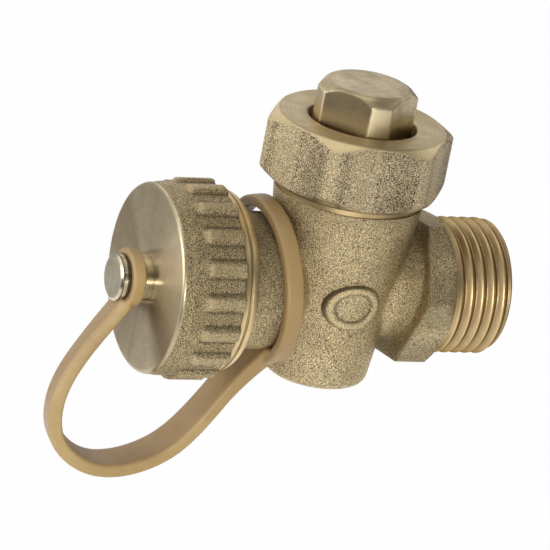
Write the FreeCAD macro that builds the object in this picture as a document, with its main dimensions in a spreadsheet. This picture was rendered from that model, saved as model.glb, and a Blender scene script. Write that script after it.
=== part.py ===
import FreeCAD, Part
import math
import os
import Sketcher

# Drain cock: a taper plug valve with a threaded boiler port, a hose outlet closed by a
# ribbed screw cap, and a moulded strap that keeps the cap with the valve.
# Millimetres. Origin on the pipe axis at the shoulder of the boiler thread, +X out of the
# thread, +Z up along the plug.

doc = FreeCAD.newDocument("DrainCock")
Vec = FreeCAD.Vector

# Driving sizes: word, number, what it is.
SIZES = [
    ("boiler_thread_dia", 20.955, "outside of the boiler pipe thread"),
    ("boiler_thread_len", 9.7, "boiler thread from shoulder to end"),
    ("thread_chamfer", 0.8, "lead-in at the end of each outside thread"),
    ("thread_gap", 0.05, "radial gap in each screwed pair"),
    ("port_hex_flats", 21.6, "wrench hexagon beside the boiler thread"),
    ("port_hex_len", 5.5, "hexagon length on the pipe axis"),
    ("port_hex_lean", 0.11, "lean of the hexagon's inner face, mm per mm of height"),
    ("port_hex_round", 0.7, "rounding of the hexagon's cast corners"),
    ("port_neck_flare", 0.8, "widening of the neck where it meets the hexagon"),
    ("shoulder_dia", 21.2, "turned shoulder at the thread"),
    ("plug_offset", 16.4, "plug axis back from the thread shoulder"),
    ("barrel_dia", 19.46, "barrel diameter at the pipe axis"),
    ("barrel_taper", 0.12, "barrel radius gained per mm of height"),
    ("barrel_depth", 14.9, "barrel bottom below the pipe axis"),
    ("barrel_round", 1.7, "rounding of the barrel's bottom edge"),
    ("barrel_height", 14.8, "top of the cast barrel above the pipe axis"),
    ("barrel_floor", 2.4, "thickness of the barrel's closed bottom"),
    ("land_height", 0.8, "turned land above the cast barrel"),
    ("land_step", 0.22, "depth of that land behind the cast skin"),
    ("gland_wall", 1.6, "wall of the stuffing box under the gland thread"),
    ("port_neck_dia", 16.0, "cast neck towards the hexagon"),
    ("hose_neck_dia", 21.0, "cast neck towards the hose thread"),
    ("hose_waist_dia", 14.4, "waist of that neck where it runs into the barrel"),
    ("hose_waist_len", 4.8, "length of the slope from neck to waist"),
    ("hose_waist_out", 1.7, "start of that slope outside the barrel's side"),
    ("hose_thread_dia", 26.441, "outside of the hose thread"),
    ("hose_thread_from", 19.4, "inner end of the hose thread, from the plug axis"),
    ("hose_thread_to", 27.7, "outer end of the hose thread, from the plug axis"),
    ("bore_dia", 14.0, "pipe bore at both ends"),
    ("waterway_dia", 10.0, "bore next to the plug"),
    ("waterway_half", 11.5, "half length of the narrow bore"),
    ("mark_width", 8.2, "blank raised oval on the barrel front, along the pipe"),
    ("mark_height", 6.8, "same, upwards"),
    ("mark_rim", 0.95, "width of its rim"),
    ("mark_rise", 0.45, "height of its rim above the barrel"),
    ("plug_dia", 14.9, "plug diameter at the pipe axis"),
    ("plug_taper", 0.0833, "plug radius gained per mm of height"),
    ("plug_foot_gap", 0.9, "space under the plug"),
    ("plug_shoulder_drop", 3.6, "top of the plug's taper below the cast barrel's top"),
    ("plug_port_dia", 9.4, "cross hole through the plug"),
    ("seat_gap", 0.04, "clearance between plug and seat"),
    ("shelf_gap", 0.2, "floor of the stuffing box above the plug's taper"),
    ("stem_dia", 15.4, "round stem and head bar"),
    ("head_flats", 13.0, "square across flats"),
    ("head_sunk", 1.86, "square's lower end below the nut's top"),
    ("head_rise", 5.79, "top of the head above the nut"),
    ("head_chamfer", 1.28, "conical edge of the head"),
    ("head_crown", 0.3, "softer second cone above that edge"),
    ("packing_wall", 1.6, "packing ring between stem and stuffing box"),
    ("packing_height", 7.6, "packing ring"),
    ("packing_gap", 0.05, "packing ring against stem, box and floor"),
    ("gland_ring_gap", 0.1, "gland ring against the box"),
    ("gland_ring_play", 0.43, "gland ring round the stem"),
    ("nut_wall", 2.0, "gland nut between its thread and a flat"),
    ("nut_stand_off", 0.3, "underside of the gland nut above the turned land"),
    ("nut_height", 10.56, "gland nut height"),
    ("nut_play", 0.65, "hole in the nut's top round the stem"),
    ("nut_plate", 3.1, "thickness of the nut's top"),
    ("nut_round", 2.6, "rounding of the nut's corners"),
    ("nut_thread_space", 0.56, "gland thread's end below the nut's top plate"),
    ("cap_len", 12.7, "cap from face to open end"),
    ("cap_dia", 29.2, "cast outside of the cap between the ribs"),
    ("cap_edge_dia", 28.9, "turned edge of the cap face"),
    ("cap_lip_dia", 27.9, "turned lip at the open end"),
    ("cap_lip_len", 2.4, "length of that lip"),
    ("lip_groove_from", 0.95, "turned groove behind the lip's step"),
    ("lip_groove_wide", 0.42, "width of that groove"),
    ("lip_groove_deep", 0.2, "depth of that groove"),
    ("cap_plate", 1.6, "thickness of the cap's face"),
    ("rib_count", 18, "grip ribs round the cap"),
    ("rib_width", 2.5, "rib at its root"),
    ("rib_height", 0.65, "rib above the cast skin"),
    ("rib_setback", 3.6, "start of the ribs behind the cap's face"),
    ("gasket_thick", 1.6, "gasket thickness"),
    ("gasket_play", 0.47, "gasket's rim inside the cap"),
    ("gasket_gap", 0.03, "gasket against its two faces"),
    ("pin_shoulder_dia", 7.6, "pin shoulder against the cap"),
    ("pin_shoulder_len", 1.3, "its length"),
    ("pin_neck_dia", 5.2, "pin where the strap's eye sits"),
    ("pin_neck_len", 2.5, "its length"),
    ("pin_head_dia", 7.3, "pin head"),
    ("pin_head_len", 1.45, "pin head thickness"),
    ("pin_stem_dia", 4.0, "pin end fixed in the cap"),
    ("eye_wall", 1.6, "strap eye round its hole"),
    ("eye_play", 0.3, "eye's hole round the pin"),
    ("eye_side", 0.2, "eye between the pin's shoulder and head, each side"),
    ("ring_wall", 1.75, "strap ring round its hole"),
    ("ring_play", 0.65, "ring's hole round the neck"),
    ("ring_thick", 2.9, "strap ring along the pipe"),
    ("ring_gap", 0.26, "strap ring from the barrel's side"),
    ("ring_lift", 0.3, "strap ring centre above the pipe axis"),
    ("band_width", 5.2, "strap band across"),
    ("band_thick", 2.0, "strap band thickness"),
    ("band_run", 10.0, "straight part below the eye"),
    ("band_bend", 10.4, "radius of the strap's tight bend"),
    ("band_sweep", 27.0, "radius of the strap's wide bend"),
    ("band_turn", 4.0, "radius where the band leaves eye and ring"),
    ("band_edge", 0.35, "bevel along the band's edges"),
    ("tab_len", 3.2, "length over which the band widens towards the ring"),
    ("tab_flare", 2.6, "widening of the band at the ring, each side"),
]

sheet = doc.addObject("Spreadsheet::Sheet", "Sizes")
for row, (word, number, meaning) in enumerate(SIZES, start=1):
    sheet.set("A%d" % row, word)
    sheet.set("B%d" % row, repr(number))
    sheet.set("C%d" % row, meaning)
    sheet.setAlias("B%d" % row, word)
doc.recompute()


class Size:
    """A number together with the formula that ties it to the sheet."""

    def __init__(self, number, formula):
        self.number = float(number)
        self.formula = formula

    @staticmethod
    def of(value):
        if isinstance(value, Size):
            return value
        return Size(value, "(%.9g)" % value)

    def __add__(self, other):
        other = Size.of(other)
        return Size(self.number + other.number, "(%s + %s)" % (self.formula, other.formula))

    def __sub__(self, other):
        other = Size.of(other)
        return Size(self.number - other.number, "(%s - %s)" % (self.formula, other.formula))

    def __mul__(self, other):
        other = Size.of(other)
        return Size(self.number * other.number, "(%s * %s)" % (self.formula, other.formula))

    def __truediv__(self, other):
        other = Size.of(other)
        return Size(self.number / other.number, "(%s / %s)" % (self.formula, other.formula))

    def __radd__(self, other):
        return Size.of(other) + self

    def __rsub__(self, other):
        return Size.of(other) - self

    def __rmul__(self, other):
        return Size.of(other) * self

    def __neg__(self):
        return Size(-self.number, "(0 - %s)" % self.formula)


S = {word: Size(number, "Sizes." + word) for word, number, meaning in SIZES}


def tie(thing, prop, value):
    """Bind one property to the sheet."""
    thing.setExpression(prop, Size.of(value).formula)


def new_body(name):
    body = doc.addObject("PartDesign::Body", name)
    body.Label = name
    return body


def new_sketch(body, name, role, shift=None, turn=None):
    """Sketch on one of the body's own planes, shifted along its axes and turned if asked."""
    plane = [f for f in body.Origin.OriginFeatures if f.Role == role][0]
    sketch = body.newObject("Sketcher::SketchObject", name)
    sketch.AttachmentSupport = [(plane, "")]
    sketch.MapMode = "FlatFace"
    shift = shift or {}
    base = Vec(*[Size.of(shift.get(axis, 0)).number for axis in "xyz"])
    sketch.AttachmentOffset = FreeCAD.Placement(base, turn or FreeCAD.Rotation())
    for axis, value in shift.items():
        tie(sketch, "AttachmentOffset.Base." + axis, value)
    sketch.Visibility = False
    return sketch


def hold(sketch, kind, args, value):
    """Add a measured constraint and bind it to the sheet."""
    index = sketch.addConstraint(Sketcher.Constraint(kind, *args, Size.of(value).number))
    if isinstance(value, Size):
        tie(sketch, "Constraints[%d]" % index, value)


def place(sketch, geo, end, point):
    """Hold one point of the sketch at sheet-driven coordinates."""
    for kind, axis, value in (("DistanceX", -2, point[0]), ("DistanceY", -1, point[1])):
        if not isinstance(value, Size) and value == 0:
            sketch.addConstraint(Sketcher.Constraint("PointOnObject", geo, end, axis))
        else:
            hold(sketch, kind, (-1, 1, geo, end), value)


def polygon(sketch, points):
    """Closed outline of straight sides."""
    count = len(points)
    flat = [Vec(Size.of(x).number, Size.of(y).number, 0) for x, y in points]
    first = sketch.GeometryCount
    for i in range(count):
        sketch.addGeometry(Part.LineSegment(flat[i], flat[(i + 1) % count]), False)
    for i in range(count):
        sketch.addConstraint(Sketcher.Constraint("Coincident", first + i, 2, first + (i + 1) % count, 1))
    for i in range(count):
        place(sketch, first + i, 1, points[i])


def circle(sketch, dia, centre=(0, 0)):
    middle = Vec(Size.of(centre[0]).number, Size.of(centre[1]).number, 0)
    geo = sketch.addGeometry(Part.Circle(middle, Vec(0, 0, 1), Size.of(dia).number / 2), False)
    place(sketch, geo, 3, centre)
    hold(sketch, "Diameter", (geo,), dia)
    return geo


def regular(flats, count, start):
    """Corner points of a regular outline; the first corner lies at the start angle."""
    corner = flats * (0.5 / math.cos(math.pi / count))
    angles = [math.radians(start) + 2 * math.pi * k / count for k in range(count)]
    return [(corner * math.cos(a), corner * math.sin(a)) for a in angles]


def spin(body, kind, name, sketch, axis, angle=360, midplane=False):
    feature = body.newObject("PartDesign::" + kind, name)
    feature.Profile = (sketch, [""])
    feature.ReferenceAxis = (sketch, [axis])
    feature.Angle = angle
    feature.Midplane = midplane
    doc.recompute()
    return feature


def push(body, kind, name, sketch, length=None, reverse=False, both=False, taper=None):
    feature = body.newObject("PartDesign::" + kind, name)
    feature.Profile = (sketch, [""])
    if length is None:
        feature.Type = "ThroughAll"
    else:
        tie(feature, "Length", length)
    feature.SideType = "Symmetric" if both else "One side"
    feature.Reversed = reverse
    if taper is not None:
        feature.TaperAngle = taper
    doc.recompute()
    return feature


def soften(body, name, radius, wanted, kind="Fillet"):
    """Round (or bevel) every edge of the body that the test function accepts."""
    base = body.Tip
    names = ["Edge%d" % (i + 1) for i, e in enumerate(base.Shape.Edges) if wanted(e)]
    feature = body.newObject("PartDesign::" + kind, name)
    feature.Base = (base, names)
    tie(feature, "Radius" if kind == "Fillet" else "Size", radius)
    doc.recompute()
    return feature


def middle_of(edge):
    first, last = edge.ParameterRange
    return edge.valueAt((first + last) / 2)


def along(edge, axis):
    """True for a straight edge that runs along the given direction."""
    if len(edge.Vertexes) != 2:
        return False
    chord = edge.Vertexes[1].Point - edge.Vertexes[0].Point
    straight = abs(edge.Length - chord.Length) < 1e-4
    return straight and abs(chord.dot(axis)) > 0.99 * chord.Length


plug_x = -S["plug_offset"]
PLUG_X = plug_x.number
XAX = Vec(1, 0, 0)
ZAX = Vec(0, 0, 1)
HEX_CLOCK = 6.4      # degrees the port hexagon is turned about the pipe
NUT_CLOCK = 39.0     # degrees the gland nut is turned on its thread
HEAD_CLOCK = 51.4    # degrees the square is turned from the pipe's cross direction
RIB_CLOCK = 27.5     # degrees of the first rib above the front


def barrel_radius(z):
    return S["barrel_dia"] / 2 + S["barrel_taper"] * z


def plug_radius(z):
    return S["plug_dia"] / 2 + S["plug_taper"] * z


def rounded(radius, level, size, steps=4):
    """Outline points of a rounded lower edge, from the underside up to the side."""
    turns = [math.pi / 2 * k / steps for k in range(steps + 1)]
    return [(radius - size * (1 - math.sin(a)), level + size * (1 - math.cos(a))) for a in turns]


# Heights along the plug axis, each from the piece below it.
low = -S["barrel_depth"]
floor = low + S["barrel_floor"]
foot = floor + S["plug_foot_gap"]
top = S["barrel_height"]
land_top = top + S["land_height"]
shoulder_z = top - S["plug_shoulder_drop"]
shelf = shoulder_z + S["shelf_gap"]
packing_from = shelf + S["packing_gap"]
packing_top = packing_from + S["packing_height"]
nut_bottom = land_top + S["nut_stand_off"]
nut_top = nut_bottom + S["nut_height"]
plate_under = nut_top - S["nut_plate"]
gland_top = plate_under - S["nut_thread_space"]
head_from = nut_top - S["head_sunk"]
head_top = nut_top + S["head_rise"]

# Valve body: barrel, blank oval, hexagon, necks and threads, then the bores.
body = new_body("valve_body")
stem_r = S["stem_dia"] / 2
packing_gap = S["packing_gap"]
box_r = stem_r + S["packing_wall"] + packing_gap * 2
gland_r = box_r + S["gland_wall"]
land_r = barrel_radius(top) - S["land_step"]
bevel = S["thread_chamfer"]
foot_round = S["barrel_round"]
sk = new_sketch(body, "BarrelOutline", "YZ_Plane", {"z": plug_x})
polygon(sk, [
    (0, low), *rounded(barrel_radius(low + foot_round), low, foot_round), (barrel_radius(top), top),
    (land_r, top), (land_r, land_top), (gland_r, land_top), (gland_r, gland_top - bevel),
    (gland_r - bevel, gland_top), (0, gland_top)])
spin(body, "Revolution", "Barrel", sk, "V_Axis")


def oval(sketch, wide, tall):
    """Ellipse about the sketch's origin, its two axes held to the sheet."""
    geo = sketch.addGeometry(Part.Ellipse(Vec(0, 0, 0), wide.number / 2, tall.number / 2), False)
    sketch.exposeInternalGeometry(geo)
    place(sketch, geo, 3, (0, 0))
    sketch.addConstraint(Sketcher.Constraint("Horizontal", geo + 1))
    hold(sketch, "Distance", (geo + 1,), wide)
    hold(sketch, "Distance", (geo + 2,), tall)


MARK_SPAN = 8.0      # half height of the cut that rounds the oval to the barrel
rim = S["mark_rim"] * 2
for name, share, inner in (("MarkField", 0.45, False), ("MarkRim", 1.0, True)):
    sk = new_sketch(body, name + "Outline", "XZ_Plane", {"x": plug_x - 0.4, "y": -0.3})
    oval(sk, S["mark_width"], S["mark_height"])
    if inner:
        oval(sk, S["mark_width"] - rim, S["mark_height"] - rim)
    push(body, "Pad", name, sk, S["barrel_dia"] / 2 + 2)
    sk = new_sketch(body, name + "Trim", "YZ_Plane", {"z": plug_x})
    skin = S["mark_rise"] * share
    outside = barrel_radius(MARK_SPAN) + 4
    polygon(sk, [(-(barrel_radius(-MARK_SPAN) + skin), -MARK_SPAN),
                 (-(barrel_radius(MARK_SPAN) + skin), MARK_SPAN),
                 (-outside, MARK_SPAN), (-outside, -MARK_SPAN)])
    spin(body, "Groove", name + "Face", sk, "V_Axis", 80, True)

thread_r = S["boiler_thread_dia"] / 2
thread_end = S["boiler_thread_len"]
port_neck = S["port_neck_dia"] / 2
flare = S["port_neck_flare"]
hex_len = S["port_hex_len"]
hose_neck = S["hose_neck_dia"] / 2
hose_waist = S["hose_waist_dia"] / 2
hose_r = S["hose_thread_dia"] / 2
barrel_r = S["barrel_dia"] / 2
hose_in = plug_x - S["hose_thread_from"]
hose_out = plug_x - S["hose_thread_to"]
slope_x = plug_x - barrel_r - S["hose_waist_out"]
sk = new_sketch(body, "PipeOutline", "XY_Plane")
polygon(sk, [
    (thread_end, 0), (thread_end, thread_r - bevel), (thread_end - bevel, thread_r), (-1, thread_r),
    (-1, port_neck + flare), (-hex_len, port_neck + flare), (-hex_len - flare * 0.7, port_neck + flare * 0.3),
    (-hex_len - flare * 2, port_neck), (plug_x + barrel_r - 1.2, port_neck),
    (plug_x + barrel_r - 5.7, port_neck - 0.8),
    (plug_x, port_neck - 1), (slope_x + S["hose_waist_len"], hose_waist),
    (slope_x, hose_neck), (hose_in, hose_neck),
    (hose_in, hose_r - bevel), (hose_in - bevel, hose_r), (hose_out + bevel, hose_r),
    (hose_out, hose_r - bevel), (hose_out, 0)])
spin(body, "Revolution", "Pipe", sk, "H_Axis")

hex_r = S["port_hex_flats"] / math.sqrt(3)
hex_lean = FreeCAD.Rotation(Vec(1, 0, 0), math.degrees(math.atan(S["port_hex_lean"].number)))
sk = new_sketch(body, "HexInner", "YZ_Plane", {"z": -hex_len}, hex_lean)
polygon(sk, regular(S["port_hex_flats"], 6, 180 - HEX_CLOCK))
sk2 = new_sketch(body, "HexOuter", "YZ_Plane")
polygon(sk2, regular(S["port_hex_flats"], 6, 180 - HEX_CLOCK))
loft = body.newObject("PartDesign::AdditiveLoft", "PortHex")
loft.Profile = (sk, [""])
loft.Sections = [(sk2, [""])]
loft.Ruled = True
doc.recompute()
sk = new_sketch(body, "HexBevelOutline", "XY_Plane")
shoulder_r = S["shoulder_dia"] / 2
polygon(sk, [(0, shoulder_r), (0, shoulder_r + 3), (-3, shoulder_r + 3)])
spin(body, "Groove", "HexBevel", sk, "H_Axis")


def hex_corner(edge):
    where = middle_of(edge)
    return along(edge, XAX) and math.hypot(where.y, where.z) > 0.97 * hex_r.number


soften(body, "HexCorners", S["port_hex_round"], hex_corner)

bore = S["bore_dia"] / 2
way = S["waterway_dia"] / 2
way_x = S["waterway_half"]
sk = new_sketch(body, "BoreOutline", "XY_Plane")
polygon(sk, [
    (thread_end + 1, 0), (thread_end + 1, bore), (plug_x + way_x + 1, bore), (plug_x + way_x, way),
    (plug_x - way_x, way), (plug_x - way_x - 1, bore), (hose_out - 1, bore), (hose_out - 1, 0)])
spin(body, "Groove", "Bore", sk, "H_Axis")

seat_gap = S["seat_gap"]
sk = new_sketch(body, "SeatOutline", "YZ_Plane", {"z": plug_x})
polygon(sk, [
    (0, floor), (plug_radius(floor) + seat_gap, floor), (plug_radius(shelf) + seat_gap, shelf),
    (box_r, shelf), (box_r, gland_top + 1), (0, gland_top + 1)])
spin(body, "Groove", "Seat", sk, "V_Axis")

# Plug: taper, stem and square head in one turned piece.
plug = new_body("plug")
cone = S["head_chamfer"]
crown = S["head_crown"]
sk = new_sketch(plug, "PlugOutline", "XZ_Plane", {"x": plug_x})
polygon(sk, [
    (0, foot), (plug_radius(foot) - 0.5, foot), (plug_radius(foot), foot + 0.5),
    (plug_radius(shoulder_z), shoulder_z), (stem_r, shoulder_z), (stem_r, head_top - cone),
    (stem_r - cone + crown, head_top - crown), (stem_r - cone - crown, head_top), (0, head_top)])
spin(plug, "Revolution", "PlugTurned", sk, "V_Axis")
sk = new_sketch(plug, "SquareOutline", "XY_Plane", {"x": plug_x, "z": head_from})
circle(sk, S["head_flats"] * 2)
polygon(sk, regular(S["head_flats"], 4, -90 - HEAD_CLOCK + 45))
push(plug, "Pocket", "Square", sk, head_top - head_from + 1, reverse=True)
sk = new_sketch(plug, "PortOutline", "XZ_Plane", {"x": plug_x})
circle(sk, S["plug_port_dia"])
push(plug, "Pocket", "Port", sk, S["plug_dia"] * 2, both=True)


def ring_body(name, inner, outer, bottom, height, role="XZ_Plane", axis="V_Axis"):
    """A plain ring about the plug axis."""
    part = new_body(name)
    outline = new_sketch(part, name + "Outline", role, {"x": plug_x})
    polygon(outline, [(inner, bottom), (outer, bottom), (outer, bottom + height), (inner, bottom + height)])
    spin(part, "Revolution", name + "Turned", outline, axis)
    return part


packing = ring_body("packing_ring", stem_r + packing_gap, box_r - packing_gap, packing_from,
                    S["packing_height"])
gland_ring = ring_body("gland_ring", stem_r + S["gland_ring_play"], box_r - S["gland_ring_gap"],
                       packing_top, plate_under - packing_top)

# Gland nut: hexagon with turned ends.
nut = new_body("gland_nut")
nut_bore = gland_r + S["thread_gap"]
nut_r = nut_bore + S["nut_wall"]
sk = new_sketch(nut, "NutOutline", "XY_Plane", {"x": plug_x, "z": nut_bottom})
polygon(sk, regular(nut_r * 2, 6, -90 - NUT_CLOCK))
push(nut, "Pad", "NutHex", sk, S["nut_height"])
soften(nut, "NutCorners", S["nut_round"], lambda e: along(e, ZAX))
sk = new_sketch(nut, "NutTopOutline", "XZ_Plane", {"x": plug_x})
polygon(sk, [(nut_r - 0.3, nut_top), (nut_r + 3, nut_top), (nut_r + 3, nut_top - 2.2)])
spin(nut, "Groove", "NutTopBevel", sk, "V_Axis")
sk = new_sketch(nut, "NutFootOutline", "XZ_Plane", {"x": plug_x})
polygon(sk, [(nut_r - 0.7, nut_bottom), (nut_r + 3.3, nut_bottom), (nut_r + 3.3, nut_bottom + 3.1)])
spin(nut, "Groove", "NutFootBevel", sk, "V_Axis")
sk = new_sketch(nut, "NutBoreOutline", "XZ_Plane", {"x": plug_x})
hole_r = stem_r + S["nut_play"]
polygon(sk, [
    (0, nut_bottom - 1), (nut_bore + 0.5, nut_bottom - 1), (nut_bore + 0.5, nut_bottom),
    (nut_bore, nut_bottom + 0.5), (nut_bore, plate_under), (hole_r, plate_under),
    (hole_r, nut_top - 0.25), (hole_r + 0.25, nut_top), (hole_r + 0.25, nut_top + 1), (0, nut_top + 1)])
spin(nut, "Groove", "NutBore", sk, "V_Axis")

# Screw cap: turned face and lip, cast ribs between them.
cap = new_body("screw_cap")
gasket_to = hose_out - S["gasket_gap"]
gasket_from = gasket_to - S["gasket_thick"]
inside_x = gasket_from - S["gasket_gap"]
face_x = inside_x - S["cap_plate"]
mouth_x = face_x + S["cap_len"]
lip_x = mouth_x - S["cap_lip_len"]
cast_r = S["cap_dia"] / 2
edge_r = S["cap_edge_dia"] / 2
lip_r = S["cap_lip_dia"] / 2
groove_x = lip_x + S["lip_groove_from"]
groove_w = S["lip_groove_wide"]
groove_r = lip_r - S["lip_groove_deep"]
cap_bore = hose_r + S["thread_gap"]
pin_hole = S["pin_stem_dia"] / 2
sk = new_sketch(cap, "CapOutline", "XZ_Plane")
polygon(sk, [
    (face_x, pin_hole), (face_x, edge_r - 0.55), (face_x + 0.15, edge_r - 0.2), (face_x + 0.5, edge_r),
    (face_x + 1.4, edge_r), (face_x + 1.9, cast_r), (lip_x - 0.3, cast_r), (lip_x, cast_r - 0.3),
    (lip_x, lip_r), (groove_x, lip_r), (groove_x, groove_r), (groove_x + groove_w, groove_r),
    (groove_x + groove_w, lip_r - 0.05), (mouth_x - 0.5, lip_r - 0.15), (mouth_x, lip_r - 0.45),
    (mouth_x, cap_bore + 0.1), (mouth_x - 0.1, cap_bore), (inside_x, cap_bore), (inside_x, pin_hole)])
spin(cap, "Revolution", "CapTurned", sk, "H_Axis")
rib_from = face_x + S["rib_setback"]
rib_len = lip_x - rib_from
rib_w = S["rib_width"]
rib_base = cast_r - 0.5
sk = new_sketch(cap, "RibOutline", "XY_Plane", {"z": rib_base})
r_end = 0.9
polygon(sk, [
    (rib_from + r_end, -rib_w / 2), (lip_x, -rib_w / 2), (lip_x, rib_w / 2), (rib_from + r_end, rib_w / 2),
    (rib_from + 0.25, rib_w / 2 - 0.55), (rib_from, 0), (rib_from + 0.25, -(rib_w / 2 - 0.55))])
rib = push(cap, "Pad", "Rib", sk, cast_r + S["rib_height"] - rib_base, taper=-24)
ring_of_ribs = cap.newObject("PartDesign::PolarPattern", "Ribs")
x_axis = [f for f in cap.Origin.OriginFeatures if f.Role == "X_Axis"][0]
ring_of_ribs.Originals = [rib]
ring_of_ribs.Axis = (x_axis, [""])
ring_of_ribs.Angle = 360
tie(ring_of_ribs, "Occurrences", S["rib_count"])
cap.Tip = ring_of_ribs
doc.recompute()
cap.Placement = FreeCAD.Placement(Vec(0, 0, 0), FreeCAD.Rotation(XAX, 90 - RIB_CLOCK))

# Flat gasket between the cap's face and the end of the hose thread.
gasket = new_body("cap_gasket")
sk = new_sketch(gasket, "GasketOutline", "XZ_Plane")
gasket_r = cap_bore - S["gasket_play"]
polygon(sk, [(gasket_from, bore), (gasket_from, gasket_r), (gasket_to, gasket_r), (gasket_to, bore)])
spin(gasket, "Revolution", "GasketTurned", sk, "H_Axis")

# Pin: fixed in the cap, it carries the eye of the strap between shoulder and head.
pin = new_body("strap_pin")
pin_neck_x = face_x - S["pin_shoulder_len"]
pin_head_x = pin_neck_x - S["pin_neck_len"]
pin_end_x = pin_head_x - S["pin_head_len"]
pin_shoulder_r = S["pin_shoulder_dia"] / 2
pin_neck_r = S["pin_neck_dia"] / 2
pin_head_r = S["pin_head_dia"] / 2
sk = new_sketch(pin, "PinOutline", "XZ_Plane")
polygon(sk, [
    (pin_end_x, 0), (pin_end_x, pin_head_r - 0.45), (pin_end_x + 0.3, pin_head_r),
    (pin_head_x - 0.2, pin_head_r), (pin_head_x, pin_head_r - 0.2), (pin_head_x, pin_neck_r),
    (pin_neck_x, pin_neck_r), (pin_neck_x, pin_shoulder_r), (face_x, pin_shoulder_r),
    (face_x, pin_hole), (inside_x, pin_hole), (inside_x, 0)])
spin(pin, "Revolution", "PinTurned", sk, "H_Axis")

# Strap: eye, band and neck ring moulded in one piece.
strap = new_body("strap")
eye_x = pin_neck_x - S["pin_neck_len"] / 2
ring_x = plug_x - barrel_r - S["ring_gap"] - S["ring_thick"] * 0.5036
ring_z = S["ring_lift"]
eye_hole = S["pin_neck_dia"] + S["eye_play"] * 2
eye_dia = eye_hole + S["eye_wall"] * 2
ring_hole = S["hose_neck_dia"] + S["ring_play"] * 2
ring_dia = ring_hole + S["ring_wall"] * 2
sk = new_sketch(strap, "EyeOutline", "YZ_Plane", {"z": eye_x})
circle(sk, eye_dia)
circle(sk, eye_hole)
push(strap, "Pad", "Eye", sk, S["pin_neck_len"] - S["eye_side"] * 2, both=True)
# the ring leans as far as the barrel's side does
lean = FreeCAD.Rotation(Vec(1, 0, 0), -math.degrees(math.atan(S["barrel_taper"].number)))
sk = new_sketch(strap, "RingOutline", "YZ_Plane", {"z": ring_x, "y": ring_z}, lean)
circle(sk, ring_dia)
circle(sk, ring_hole)
push(strap, "Pad", "Ring", sk, S["ring_thick"], both=True)

# The band's middle line in the XZ plane: turn, run, bend, sweep, run, turn, all tangent.
eye_mid = (eye_dia + eye_hole) / 4
ring_mid = (ring_dia + ring_hole) / 4
start = (eye_x, -eye_mid)
finish_at = (ring_x + ring_mid * S["barrel_taper"], ring_z - ring_mid)
HEAD_OUT = 38.0      # degrees the band leans out below the eye
HEAD_IN = 55.7       # degrees of the straight part that climbs to the ring


def tangent_path(sizes):
    """Numbers of the middle line: list of (kind, data), solved so that it meets the ring."""
    x0, z0, x1, z1, turn, run, bend, sweep = sizes
    out = math.radians(HEAD_OUT)
    rise = math.radians(HEAD_IN)
    # end of the first turn and the first straight run
    ax = x0 - turn * (1 - math.cos(out))
    az = z0 - turn * math.sin(out)
    bx = ax - run * math.sin(out)
    bz = az - run * math.cos(out)
    # last turn, worked back from the ring
    ex = x1 - turn * (1 - math.sin(rise))
    ez = z1 - turn * math.cos(rise)
    heading = -math.pi / 2 - out
    c1x = bx - bend * math.sin(heading)
    c1z = bz + bend * math.cos(heading)
    # the wide bend's centre lies on a line parallel to the climbing run
    nx, nz = -math.sin(rise), math.cos(rise)
    px, pz = ex + sweep * nx, ez + sweep * nz
    ux, uz = -math.cos(rise), -math.sin(rise)
    wx, wz = px - c1x, pz - c1z
    half = ux * wx + uz * wz
    rest = wx * wx + wz * wz - (sweep - bend) ** 2
    step = -half + math.sqrt(half * half - rest)
    other = -half - math.sqrt(half * half - rest)
    step = min([s for s in (step, other) if s > 0])
    c2x, c2z = px + step * ux, pz + step * uz
    dx, dz = ex + step * ux, ez + step * uz
    lx, lz = c1x - c2x, c1z - c2z
    size = math.hypot(lx, lz)
    mx, mz = c1x + bend * lx / size, c1z + bend * lz / size
    return {"a": (ax, az), "b": (bx, bz), "m": (mx, mz), "d": (dx, dz), "e": (ex, ez),
            "c0": (x0 - turn, z0), "c1": (c1x, c1z), "c2": (c2x, c2z), "c3": (x1 - turn, z1)}


numbers = [Size.of(v).number for v in (*start, *finish_at, S["band_turn"], S["band_run"],
                                       S["band_bend"], S["band_sweep"])]
at = {key: Vec(x, z, 0) for key, (x, z) in tangent_path(numbers).items()}
begin = Vec(numbers[0], numbers[1], 0)
end = Vec(numbers[2], numbers[3], 0)


def arc(centre, first, last):
    """Arc that runs anticlockwise from the first point to the last."""
    radius = (first - centre).Length
    a0 = math.atan2(first.y - centre.y, first.x - centre.x)
    a1 = math.atan2(last.y - centre.y, last.x - centre.x)
    if a1 < a0:
        a1 += 2 * math.pi
    return Part.ArcOfCircle(Part.Circle(centre, Vec(0, 0, 1), radius), a0, a1)


path = new_sketch(strap, "BandPath", "XZ_Plane")
path.addGeometry([
    arc(at["c0"], at["a"], begin), Part.LineSegment(at["a"], at["b"]), arc(at["c1"], at["b"], at["m"]),
    arc(at["c2"], at["m"], at["d"]), Part.LineSegment(at["d"], at["e"]), arc(at["c3"], at["e"], end)], False)
for one, one_end, two, two_end in ((0, 1, 1, 1), (1, 2, 2, 1), (2, 2, 3, 1), (3, 2, 4, 1), (4, 2, 5, 1)):
    path.addConstraint(Sketcher.Constraint("Tangent", one, one_end, two, two_end))
place(path, 0, 2, start)
place(path, 5, 2, finish_at)
for geo, word in ((0, "band_turn"), (2, "band_bend"), (3, "band_sweep"), (5, "band_turn")):
    hold(path, "Radius", (geo,), S[word])
hold(path, "Distance", (1,), S["band_run"])


def bevelled(half_x, half_y):
    """Corner points of a rectangle whose corners are cut by the band's edge bevel."""
    cut = S["band_edge"]
    return [(-half_x, cut - half_y), (cut - half_x, -half_y), (half_x - cut, -half_y), (half_x, cut - half_y),
            (half_x, half_y - cut), (half_x - cut, half_y), (cut - half_x, half_y), (-half_x, half_y - cut)]


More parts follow.
